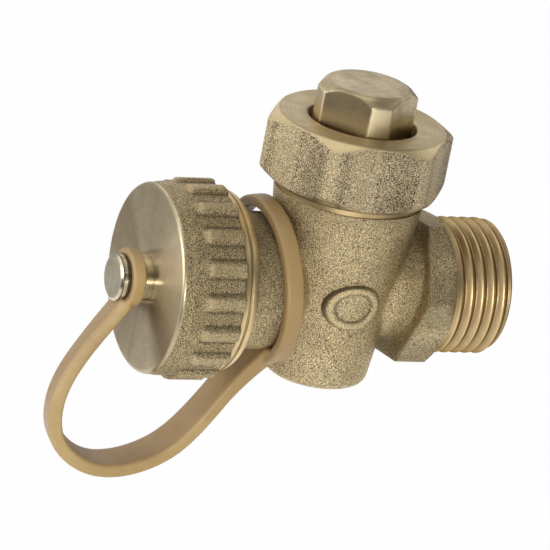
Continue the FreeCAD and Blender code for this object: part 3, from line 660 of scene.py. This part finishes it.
# %% [markdown]
# ## The blank oval on the barrel
# Castings often carry a raised oval with a rim. This one is plain. The foundry's pattern gives it
# sloping walls, so that it draws from the sand. It is a grid of elliptic rings laid on the barrel's
# cone, with its height read from one profile.

# %% Lay the oval on the cone
MARK_AT, MARK_HALF = (-16.8, -0.3), (4.1, 3.4)
MARK_TOP, MARK_SUNK = 0.34, 0.8
MARK_PROFILE = np.array([(1.2, -0.25), (1.14, -0.03), (1.06, 0.40), (1.02, 0.56), (0.96, 0.62),
                         (0.86, 0.62), (0.79, 0.56), (0.74, 0.50), (0.70, 0.28), (0.66, 0.26),
                         (0.4, 0.33), (0.06, 0.36)])


def oval_grid(rows=70, cols=120):
    """Rings q of an ellipse (a q cos t, b q sin t), pushed out of the barrel's cone, whose radius
    grows with z, by the profile's height at q."""
    t = turns(cols)[None, :]
    knots = np.arange(len(MARK_PROFILE))
    steps = np.linspace(0, knots[-1], rows)
    q = np.interp(steps, knots, MARK_PROFILE[:, 0])[:, None]
    rise = np.interp(steps, knots, MARK_PROFILE[:, 1])
    rise = np.convolve(np.pad(rise, 2, mode="edge"), np.ones(5) / 5, mode="valid")[:, None]
    x = MARK_AT[0] - PLUG_X + MARK_HALF[0] * q * np.cos(t)
    z = MARK_AT[1] + MARK_HALF[1] * q * np.sin(t)
    cone = BARREL_R + BARREL_TAPER * z
    turn, r = np.arcsin(x / cone), cone + rise
    return np.stack([PLUG_X + r * np.sin(turn), -r * np.cos(turn), z], axis=-1)


def oval_light_and_shade(points):
    """Painted shade on the wall, strongest where it leans to the upper left, and along the foot of
    the rim; a painted highlight on the rim: steps of the ring number q, the wall also by how far it
    leans to the upper left."""
    across = (points[:, 0] - MARK_AT[0]) / MARK_HALF[0]
    up = (points[:, 2] - MARK_AT[1]) / MARK_HALF[1]
    q = np.hypot(across, up)
    lean = 0.7 * (up - across) / np.maximum(q, 0.05)
    wall = plateau(q, 1.0, 1.06, 1.13, 1.2) * (0.2 + 0.65 * smoothstep(lean, -0.2, 0.8))
    foot = plateau(q, 0.62, 0.68, 0.72, 0.78)
    rim = plateau(q, 0.78, 0.84, 0.94, 1.02)
    return 0.35 * rim - wall - 0.55 * foot


oval_top = (MARK_AT[0], -BARREL_R - MARK_TOP, MARK_AT[1])
oval_foot = (MARK_AT[0], -BARREL_R + MARK_SUNK, MARK_AT[1])
oval_points, oval_faces = capped_grid(oval_grid(), oval_foot, oval_top)
blank_oval = mesh_piece("blank_oval", oval_points, oval_faces, [BODY_CAST])
set_painted_light(blank_oval.data, oval_light_and_shade(oval_points))
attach(blank_oval, "valve")

# %% [markdown]
# ## The gland nut
# The nut is a hot-pressed hexagon, blasted all over, whose top is then faced on a lathe. Its
# outline is the soft minimum of six flats and two cones: where the cone is the smaller, the surface
# is turned, and the curved arcs on the flats appear by themselves.

# %% The nut as one closed grid
NUT_LOW, NUT_HIGH = (corner[2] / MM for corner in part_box("gland_nut"))
NUT_FLAT, NUT_BORE, NUT_HOLE, NUT_PLATE = 13.05, 11.05, 8.35, 3.1
NUT_TURN = math.radians(-99.0)
TOP_SLOPE, FOOT_SLOPE = 3.3 / 2.2, 4.0 / 3.1
CORNER_SHARP, CONE_SHARP = 26, 110


def soft_min(values, sharpness):
    """Smooth least value: the sum of the values to the power -s, to the power -1/s."""
    return np.sum([v ** -sharpness for v in values], axis=0) ** (-1 / sharpness)


def flat_light_and_shade(to_flat, z):
    """A painted highlight on each of the hexagon's corners; on one half of each flat a painted shade
    line beside the corner and painted light further in; on the other half painted shade near the
    corner, growing towards the bottom; painted shade at the foot: by the angle to the nearest corner
    and the height z."""
    corner = np.pi / 6 - np.abs(to_flat)
    corner_highlight = 0.28 * (1 - smoothstep(corner, 0.05, 0.10))
    low = 0.35 + 0.65 * (NUT_HIGH - z) / (NUT_HIGH - NUT_LOW)
    shade_amount = plateau(corner, 0.07, 0.13, 0.2, 0.5) * (to_flat > 0) * low
    line = plateau(corner, 0.08, 0.11, 0.12, 0.17) * (to_flat < 0)
    light = 0.28 * smoothstep(corner, 0.12, 0.25) * (to_flat < 0)
    foot = 0.5 * (1 - smoothstep(z, NUT_LOW, NUT_LOW + 0.8))
    return corner_highlight - 0.36 * shade_amount - 0.2 * line + light - foot


def nut_grid(rows=46, cols=360):
    """Rows run down the outside and back up the bore, columns go round the plug axis. The outside
    radius is the soft minimum of a hexagon, flat / cos(angle to the flat), and two cones."""
    angle = turns(cols)[None, :]
    to_flat = (angle - NUT_TURN + np.pi / 6) % (np.pi / 3) - np.pi / 6
    hexagon = soft_min([NUT_FLAT / np.cos(to_flat),
                        NUT_FLAT / np.cos(np.abs(to_flat) - np.pi / 3)], CORNER_SHARP)
    share = np.linspace(0, 1, rows)[:, None]
    z = NUT_HIGH - (NUT_HIGH - NUT_LOW) * (share - 0.055 * np.sin(2 * np.pi * share))
    top_cone = NUT_FLAT - 0.3 + (NUT_HIGH - z) * TOP_SLOPE
    foot_cone = NUT_FLAT - 0.7 + (z - NUT_LOW) * FOOT_SLOPE
    side = soft_min(np.broadcast_arrays(hexagon, top_cone, foot_cone), CONE_SHARP)
    inner = eased([(NUT_BORE + 0.5, NUT_LOW), (NUT_BORE, NUT_LOW + 0.5),
                   (NUT_BORE, NUT_HIGH - NUT_PLATE), (NUT_HOLE, NUT_HIGH - NUT_PLATE),
                   (NUT_HOLE, NUT_HIGH - 0.25), (NUT_HOLE + 0.25, NUT_HIGH),
                   (NUT_HOLE + 2.2, NUT_HIGH), (NUT_FLAT - 0.6, NUT_HIGH)], 0.06, 2)
    bored = (len(inner), cols)
    r = np.concatenate([side, np.broadcast_to(inner[:, :1], bored)])
    z = np.concatenate([np.broadcast_to(z, side.shape), np.broadcast_to(inner[:, 1:], bored)])
    turned = np.concatenate([top_cone < hexagon - 0.02, np.ones(bored, dtype=bool)])
    # On the turned chamfer a painted highlight; on the flats their painted light and shade.
    painted_light = np.where(turned, 0.7 * (z < NUT_HIGH - 0.05) * (r > NUT_FLAT - 0.35),
                      flat_light_and_shade(to_flat, z))
    return np.stack([PLUG_X + r * np.cos(angle), r * np.sin(angle), z], axis=-1), turned, painted_light


nut_rows, nut_turned, nut_light_and_shade = nut_grid()
nut_points, nut_quads = closed_grid(nut_rows)
hexagon_nut = mesh_piece("hexagon_nut", nut_points, nut_quads, [NUT_CAST, NUT_TURNED],
                         nut_turned.reshape(-1)[nut_quads].all(axis=1), sharp_deg=38)
set_painted_light(hexagon_nut.data, nut_light_and_shade)
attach(hexagon_nut, "valve")
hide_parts("gland_nut")

# %% [markdown]
# ## The screw cap
# The cap is a blasted forging with eighteen grip ribs; its face and its lip are turned. It is a
# profile carried round the pipe axis, with the ribs added to the radius as a rounded wave.

# %% The cap's profile
FACE_X, MOUTH_X = (corner[0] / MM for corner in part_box("screw_cap"))
LIP_X, INSIDE_X = MOUTH_X - 2.4, FACE_X + 1.6
CAP_R, CAP_EDGE_R, CAP_LIP_R, CAP_BORE, PIN_HOLE = 14.6, 14.45, 13.95, 13.2705, 2.0
BORE_SIDE = CAP_BORE + 0.2


def cap_profile():
    """Corners (x, r) over the face, the skin and the lip and back through the bore, then eased."""
    face = [(FACE_X, PIN_HOLE), (FACE_X, 6.0), (FACE_X, 10.0), (FACE_X, CAP_EDGE_R - 0.55),
            (FACE_X + 0.15, CAP_EDGE_R - 0.2), (FACE_X + 0.5, CAP_EDGE_R),
            (FACE_X + 1.4, CAP_EDGE_R)]
    skin = [(x, CAP_R) for x in np.linspace(FACE_X + 2.0, LIP_X - 0.3, 22)]
    lip = [(LIP_X, CAP_R - 0.25), (LIP_X + 0.02, CAP_LIP_R), (LIP_X + 0.95, CAP_LIP_R),
           (LIP_X + 0.97, CAP_LIP_R - 0.2), (LIP_X + 1.35, CAP_LIP_R - 0.2),
           (LIP_X + 1.37, CAP_LIP_R - 0.05), (MOUTH_X - 0.5, CAP_LIP_R - 0.15),
           (MOUTH_X, CAP_LIP_R - 0.45)]
    bore = [(MOUTH_X, CAP_BORE + 0.1), (MOUTH_X - 0.1, CAP_BORE), (INSIDE_X, CAP_BORE),
            (INSIDE_X, PIN_HOLE)]
    return eased(face + skin + lip + bore, 0.12, 3)


print("cap profile points:", len(cap_profile()))

# %% The cap as one closed grid
RIBS, RIB_TURN, RIB_HIGH, RIB_HALF = 18, math.radians(27.5), 0.65, 1.55
RIB_FROM = FACE_X + 3.6


def cap_light_and_shade(x, r, off, wide, ribbed):
    """Painted highlights on the ribs' crests and ends, the face's edge and the lip's bead; painted
    shade at the ribs' feet, in the step before the lip and in its groove."""
    foot = plateau(off, 0.7 * wide, 0.95 * wide, wide, wide + 0.3) * ribbed
    end = 1 - smoothstep(x, RIB_FROM + 0.8, RIB_FROM + 2.0)
    crest = (1 - smoothstep(off, 0.3 * wide, 0.75 * wide)) * ribbed * (1 + end)
    edge = (np.abs(x - FACE_X - 0.2) < 0.2) & (r > CAP_EDGE_R - 0.6)
    step = plateau(x, LIP_X - 0.25, LIP_X - 0.05, LIP_X + 0.05, LIP_X + 0.2)
    groove = plateau(x, LIP_X + 0.9, LIP_X + 0.97, LIP_X + 1.36, LIP_X + 1.45)
    bead = plateau(x, LIP_X + 0.2, LIP_X + 0.4, LIP_X + 0.75, LIP_X + 0.9)
    outside = 0.25 * edge - 0.8 * step - 0.7 * groove + 0.6 * bead
    return 0.3 * crest - 0.62 * foot + (r > BORE_SIDE) * outside


def cap_grid(cols=RIBS * 26):
    """The profile carried round the pipe; on the skin, r gains a rib that is a smooth step of the
    distance off from the rib's middle and rises from RIB_FROM on. Zone 1 is turned, 2 the lip."""
    profile = cap_profile()
    x, r, angle = profile[:, :1], profile[:, 1:], turns(cols)[None, :]
    pitch = 2 * np.pi / RIBS
    off = np.abs((angle - RIB_TURN + pitch / 2) % pitch - pitch / 2) * CAP_R
    rise = smoothstep(x, RIB_FROM - 0.2, RIB_FROM + 1.0)
    wide = RIB_HALF - 0.55 * (1 - rise)
    ribbed = rise * ((r > CAP_R - 0.26) & (x > FACE_X + 1.9) & (x < LIP_X + 0.01))
    turned = (x < FACE_X + 0.45) | (r < BORE_SIDE)
    zone = turned + 2 * ((x > LIP_X + 0.01) & (r > BORE_SIDE))
    r = r + RIB_HIGH * ribbed * (1 - smoothstep(off, 0.45 * wide, wide))
    x = np.broadcast_to(x, r.shape)
    points = np.stack([x, -r * np.cos(angle), r * np.sin(angle)], axis=-1)
    return points, np.broadcast_to(zone, r.shape), cap_light_and_shade(x, r, off, wide, ribbed)


cap_rows, cap_zone, cap_painted_light = cap_grid()
cap_points, cap_quads = closed_grid(cap_rows)
ribbed_cap = mesh_piece("ribbed_cap", cap_points, cap_quads, [CAP_CAST, CAP_TURNED, LIP_TURNED],
                        cap_zone.reshape(-1)[cap_quads].min(axis=1), sharp_deg=40)
set_painted_light(ribbed_cap.data, cap_painted_light)
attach(ribbed_cap, "cap")
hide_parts("screw_cap")

# %% [markdown]
# ## The moulded strap
# The strap is one injection moulding: an eye on the cap's pin, a flat band that bends round, and a
# ring on the neck. Each part is a closed grid, a section carried along its own path. A voxel remesh
# melts the three into one skin and a smoothing pass gives the soft inner corners of a moulding.

# %% Materials for the strap and the unseen soft rings


def strap_plastic():
    """Tan translucent plastic: cloudy tint, flanks painted paler as a painted glow of light through
    the thin edges, a darker end at the ring, a soft sheen, light that sinks in."""
    material, tree, shader = new_material("strap_plastic_tan")
    vector = object_vector(tree)
    cloudy = range_node(tree, noise_node(tree, vector, 6.0, 3.0), 0.3, 0.7)
    grain = noise_node(tree, vector, 0.5, 3.0)
    face = mix_color(tree, cloudy, (0.45, 0.305, 0.155, 1), (0.37, 0.245, 0.12, 1))
    flank = mix_color(tree, cloudy, (0.50, 0.355, 0.15, 1), (0.41, 0.275, 0.105, 1))
    # Flanks get the paler tint: painted light, a glow as if light passed through the thin edges.
    tan = mix_color(tree, painted_light_value(tree), face, flank)
    near_ring = range_node(tree, split_xyz(tree, vector)["X"], -34 * MM, -29 * MM, 0.0, 0.8)
    feed(tree, shader, Subsurface_Weight=0.25, Subsurface_Radius=(0.9, 0.6, 0.3),
         Subsurface_Scale=1.2 * MM,
         Base_Color=mix_color(tree, near_ring, tan, (0.36, 0.235, 0.09, 1)),
         Roughness=range_node(tree, grain, 0.3, 0.7, 0.38, 0.52),
         Normal=bump_node(tree, grain, 0.03))
    return material


def plain_soft(name, light, dark, size_mm, roughness):
    """Mottled soft material for packing and gasket."""
    material, tree, shader = new_material(name)
    grain = noise_node(tree, object_vector(tree), size_mm, 4.0)
    feed(tree, shader,
         Base_Color=mix_color(tree, range_node(tree, grain, 0.35, 0.65), light, dark),
         Roughness=range_node(tree, grain, 0.3, 0.7, roughness - 0.08, roughness + 0.08),
         Normal=bump_node(tree, grain, 0.05))
    return material


STRAP_PLASTIC = strap_plastic()
PACKING = plain_soft("packing_fibre", (0.82, 0.80, 0.74, 1), (0.66, 0.63, 0.56, 1), 0.4, 0.8)
RUBBER = plain_soft("gasket_rubber_black", (0.05, 0.05, 0.05, 1), (0.025, 0.025, 0.028, 1),
                    0.3, 0.7)
print("soft materials:", [material.name for material in (STRAP_PLASTIC, PACKING, RUBBER)])

# %% The band's path and section
STRAP_X = np.array([-50.0, -56.9, -58.2, -56.2, -51.6, -45.3, -38.5, -33.0, -27.1])
STRAP_Z = np.array([-3.5, -15.0, -22.7, -27.2, -30.1, -30.1, -26.8, -20.2, -11.6])
STRAP_TWIST = np.radians([-19.8, -17.6, -13.3, -7.1, -2.8, -3.5, -3.6, -1.5, 1.7])
BAND_HALF_W, BAND_HALF_T, RING_MID_R = 3.1, 1.12, 12.0
RING_FLARE, EYE_FLARE, RING_THICKER = 4.6, 0.7, 0.33


def spline(knots, share):
    """Natural cubic through evenly spaced knots: second slopes from one linear system."""
    n = len(knots)
    system = np.diag(np.full(n, 4.0)) + np.diag(np.ones(n - 1), 1) + np.diag(np.ones(n - 1), -1)
    system[0, :2], system[-1, -2:] = (1, 0), (0, 1)
    bend = np.zeros(n)
    bend[1:-1] = 6 * (knots[:-2] - 2 * knots[1:-1] + knots[2:])
    second = np.linalg.solve(system, bend)
    place = share * (n - 1)
    k = np.minimum(place.astype(int), n - 2)
    t = place - k
    a, b, p, q = knots[k], knots[k + 1], second[k], second[k + 1]
    return a * (1 - t) + b * t + ((1 - t) ** 3 - (1 - t)) * p / 6 + (t ** 3 - t) * q / 6


def rounded_bar(angle, power):
    """Unit superellipse: |cos| and |sin| to the power 2/n keep the sides flat, the edges round."""
    c, s = np.cos(angle), np.sin(angle)
    return np.sign(c) * np.abs(c) ** (2 / power), np.sign(s) * np.abs(s) ** (2 / power)


def band_grid(rows=150, cols=44):
    """A rounded bar carried along the spline and twisted about it. Its width flares towards eye and
    ring, at the ring by a quarter circle, and its end bends up to follow the ring's curve."""
    share = np.linspace(0, 1, rows)
    path = np.stack([spline(STRAP_X, share), np.zeros(rows), spline(STRAP_Z, share)], axis=-1)
    ahead = np.gradient(path, axis=0)
    ahead /= np.linalg.norm(ahead, axis=1, keepdims=True)
    across = np.broadcast_to([0.0, 1.0, 0.0], path.shape)
    out = np.cross(across, ahead)
    twist = spline(STRAP_TWIST, share)[:, None]
    wide = np.cos(twist) * across + np.sin(twist) * out
    thick = np.cross(wide, ahead)
    last = np.clip((share - 0.89) / 0.11, 0, 1)
    flare = RING_FLARE * (1 - np.sqrt(1 - last ** 2))
    flare += EYE_FLARE * (1 - smoothstep(share, 0.0, 0.1))
    half_w = (BAND_HALF_W + flare)[:, None]
    half_t = (BAND_HALF_T + RING_THICKER * smoothstep(share, 0.9, 1.0))[:, None]
    a, b = rounded_bar(turns(cols), 7.0)
    section = (half_t * a)[..., None] * thick[:, None] + (half_w * b)[..., None] * wide[:, None]
    grid = path[:, None] + section
    arc = RING_MID_R - np.sqrt(RING_MID_R ** 2 - np.minimum(grid[..., 1] ** 2, 100.0))
    grid[..., 2] += arc * smoothstep(share, 0.86, 0.98)[:, None]
    return grid


def hoop_grid(inner, outer, width, centre, lean_deg, rows=40, cols=150):
    """Ring of rounded-bar section round a leaning X axis."""
    a, b = rounded_bar(turns(rows), 6.0)
    r = (inner + outer) / 2 + a[:, None] * (outer - inner) / 2
    turn = turns(cols)[None, :]
    x = np.broadcast_to(b[:, None] * width / 2, (rows, cols))
    ring = np.stack([x, r * np.cos(turn), r * np.sin(turn)], axis=-1)
    c, s = math.cos(math.radians(lean_deg)), math.sin(math.radians(lean_deg))
    rotate = np.array([[c, 0, s], [0, 1, 0], [-s, 0, c]])
    return ring @ rotate.T + np.asarray(centre)


print("band grid, rows and columns:", band_grid().shape[:2])

# %% Melt eye, band and ring into one moulding
EYE_X, EYE_IN, EYE_OUT, EYE_WIDE = -49.91, 2.9, 4.5, 2.1
RING_X, RING_Z, RING_LEAN = -27.85, 0.3, -6.84
RING_IN, RING_OUT, RING_WIDE = 11.15, 12.9, 2.9
VOXEL_MM = 0.24


def strap_parts():
    """Band, eye and ring as one list of points in mm and of faces, still crossing each other."""
    band = band_grid()
    flat, faces = capped_grid(band, band[0].mean(axis=0), band[-1].mean(axis=0))
    points, count = [flat], len(flat)
    for hoop in (hoop_grid(EYE_IN, EYE_OUT, EYE_WIDE, (EYE_X, 0, 0), 0.0, cols=90),
                 hoop_grid(RING_IN, RING_OUT, RING_WIDE, (RING_X, 0, RING_Z), RING_LEAN)):
        hoop_points, hoop_quads = closed_grid(hoop)
        points.append(hoop_points)
        faces += (hoop_quads + count).tolist()
        count += len(hoop_points)
    return np.concatenate(points), faces


def moulded_strap():
    """Union of the three grids by a voxel remesh, then smoothed; the result is a plain mesh. Its
    relief attribute is how far a point's normal turns to the side, which marks the band's flanks;
    the material paints them paler, a painted glow of light through the thin edges."""
    points, faces = strap_parts()
    raw = bpy.data.meshes.new("strap_raw")
    raw.from_pydata((points * MM).tolist(), [], faces)
    blank = add_object("strap_raw", raw)
    melt = blank.modifiers.new("melt", "REMESH")
    melt.mode = "VOXEL"
    melt.voxel_size = VOXEL_MM * MM
    ease = blank.modifiers.new("ease", "SMOOTH")
    ease.factor, ease.iterations = 0.5, 5
    bpy.context.view_layer.update()
    melted = blank.evaluated_get(bpy.context.evaluated_depsgraph_get())
    mesh = bpy.data.meshes.new_from_object(melted)
    bpy.data.objects.remove(blank)
    mesh.name = "moulded_strap"
    mesh.materials.clear()
    mesh.materials.append(STRAP_PLASTIC)
    mesh.shade_smooth()
    normals = np.empty(len(mesh.vertices) * 3)
    mesh.vertex_normals.foreach_get("vector", normals)
    # Marks the flanks that the material paints paler, as painted light.
    set_painted_light(mesh, np.clip((np.abs(normals[1::3]) - 0.3) / 0.6, 0, 1))
    return add_object("moulded_strap", mesh)


strap_piece = moulded_strap()
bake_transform(strap_piece)
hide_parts("strap")
print("moulded_strap faces:", len(strap_piece.data.polygons))

# %% [markdown]
# ## Finishes on the solids that stay
# The plug, its packing and gland ring, the gasket and the pin are right as they are. They keep
# their meshes and only get a better material.

# %% Hand out materials
for node, material in (("plug", PLUG_TURNED), ("gland_ring", RING_TURNED),
                       ("packing_ring", PACKING), ("cap_gasket", RUBBER),
                       ("strap_pin", PIN_TURNED)):
    NODES[node].material_slots[0].material = material
    print(node, "->", material.name)

# %% [markdown]
# ## Camera
# The photograph was taken from far away with a long lens, a little above the valve and rolled a
# few degrees. The direction, distance and focal length were fitted to the outlines of turned
# parts, whose ellipses say how they lean.

# %% Set the camera
TURN, RISE, ROLL = math.radians(-26.86), math.radians(19.78), math.radians(11.03)
DISTANCE, AIM = 0.89641, (0.00847, -0.00102)
FOCAL_PX, FRAME_PX, SENSOR_MM = 5888.75, 550, 36.0
right = Vector((math.cos(TURN), math.sin(TURN), 0))
back = Vector((math.sin(TURN) * math.cos(RISE), -math.cos(TURN) * math.cos(RISE), math.sin(RISE)))
up = back.cross(right)
rolled_right = right * math.cos(ROLL) + up * math.sin(ROLL)
rolled_up = up * math.cos(ROLL) - right * math.sin(ROLL)
plug = Vector((PLUG_X * MM, 0, 0))
place = back * DISTANCE - rolled_right * AIM[0] - rolled_up * AIM[1] + plug
lens = bpy.data.cameras.new("camera")
lens.sensor_width, lens.lens = SENSOR_MM, SENSOR_MM * FOCAL_PX / FRAME_PX
lens.clip_start, lens.clip_end = 0.01, 20
camera = add_object("camera", lens)
stance = Matrix((rolled_right, rolled_up, back)).transposed().to_4x4()
camera.matrix_world = Matrix.Translation(place) @ stance
bpy.context.scene.camera = camera
print("camera at, m:", [round(v, 4) for v in place])

# %% [markdown]
# ## Light, floor and background
# A light tent: a white room that the brass mirrors, soft boxes above, and dark cards beside the
# camera that give the metal its darker bands. The room is white to the camera and to reflections;
# what it gives as plain light is lower, so colours render about as they are written.

# %% The room
ROOM_LIGHT = 0.5
scene = bpy.context.scene
scene.view_settings.view_transform = "Standard"
world = bpy.data.worlds.new("tent")
world.use_nodes = True
scene.world = world


def seen_directly(tree):
    """1 for camera, glossy and transmission rays, 0 for the rest."""
    path = tree.nodes.new("ShaderNodeLightPath").outputs
    some = math_node(tree, "MAXIMUM", path["Is Camera Ray"], path["Is Glossy Ray"])
    return math_node(tree, "MAXIMUM", some, path["Is Transmission Ray"])


sky = world.node_tree
feed(sky, sky.nodes["Background"], Color=(1, 1, 1, 1),
     Strength=range_node(sky, seen_directly(sky), 0, 1, ROOM_LIGHT, 1.0))
print("room light:", ROOM_LIGHT)

# %% Paint for the floor and the cards
FLOOR_WHITE = 0.97


def floor_paint():
    """White floor: shows as white, but keeps a part of its own shading, so that shadows stay."""
    material, tree, shader = new_material("floor_paint")
    feed(tree, shader, Base_Color=(0.9, 0.9, 0.9, 1), Roughness=0.9)
    glow = tree.nodes.new("ShaderNodeEmission")
    blend = tree.nodes.new("ShaderNodeMixShader")
    link_in(tree, blend.inputs[0], math_node(tree, "MULTIPLY", seen_directly(tree), FLOOR_WHITE))
    tree.links.new(shader.outputs[0], blend.inputs[1])
    tree.links.new(glow.outputs[0], blend.inputs[2])
    tree.links.new(blend.outputs[0], tree.nodes["Material Output"].inputs["Surface"])
    return material


def card_paint(name, grey):
    """Matt card of one grey."""
    material, tree, shader = new_material(name)
    feed(tree, shader, Base_Color=(grey, grey, grey * 0.97, 1), Roughness=1.0)
    return material


# %% Floor and cards
FLOOR_Z, CENTRE = -0.085, (-0.022, 0.0, 0.0)


def stage_plate(name, centre, size, target, material, hidden=False):
    """A rectangle of the stage that faces a target point."""
    half_w, half_h = size[0] / 2, size[1] / 2
    toward = (Vector(target) - Vector(centre)).normalized()
    plate_turn = toward.to_track_quat("Z", "Y").to_matrix()
    outline = ((-half_w, -half_h), (half_w, -half_h), (half_w, half_h), (-half_w, half_h))
    corners = [Vector(centre) + plate_turn @ Vector((x, y, 0)) for x, y in outline]
    mesh = bpy.data.meshes.new(name)
    mesh.from_pydata(corners, [], [(0, 1, 2, 3)])
    mesh.materials.append(material)
    plate = add_object(name, mesh)
    plate.visible_camera = not hidden
    return plate


stage_plate("floor", (0, 0, FLOOR_Z), (6, 6), (0, 0, 1), floor_paint())
DARK, GREY, PALE = (card_paint(f"card_{name}", tone)
                    for name, tone in (("dark", 0.04), ("grey", 0.15), ("pale", 0.5)))
for name, centre, size, paint in (
        ("card_front", (-0.35, -0.75, 0.35), (1.3, 0.6), DARK),
        ("card_front_right", (0.45, -0.60, 0.25), (0.7, 0.6), GREY),
        ("card_top", (0.0, 0.0, 1.2), (2.4, 2.0), PALE),
        ("card_right", (0.17, -0.09, 0.03), (0.22, 0.24), GREY),
        ("card_right_back", (0.14, 0.16, 0.0), (0.14, 0.18), GREY),
        ("card_back", (-0.10, 0.17, -0.02), (0.22, 0.16), PALE),
        ("card_left", (-0.19, -0.065, -0.035), (0.16, 0.11), DARK)):
    card = stage_plate(name, centre, size, CENTRE, paint, hidden=True)
    card.visible_shadow = card.visible_diffuse = False
    print(name, "at, m:", centre)

# %% The lamps


def soft_box(name, centre, size, power):
    """A square lamp, side size in metres, that shines at the origin."""
    light = bpy.data.lights.new(name, "AREA")
    light.shape, light.size, light.size_y, light.energy = "RECTANGLE", size, size, power
    lamp = add_object(name, light)
    aim = (-Vector(centre)).to_track_quat("-Z", "Y").to_matrix().to_4x4()
    lamp.matrix_world = Matrix.Translation(centre) @ aim


soft_box("top_box", (-0.20, 0.15, 1.0), 0.8, 1.8)
soft_box("key_box", (-0.45, -1.00, 0.10), 0.35, 5.5)
soft_box("left_box", (-0.80, 0.20, 0.0), 0.35, 3)
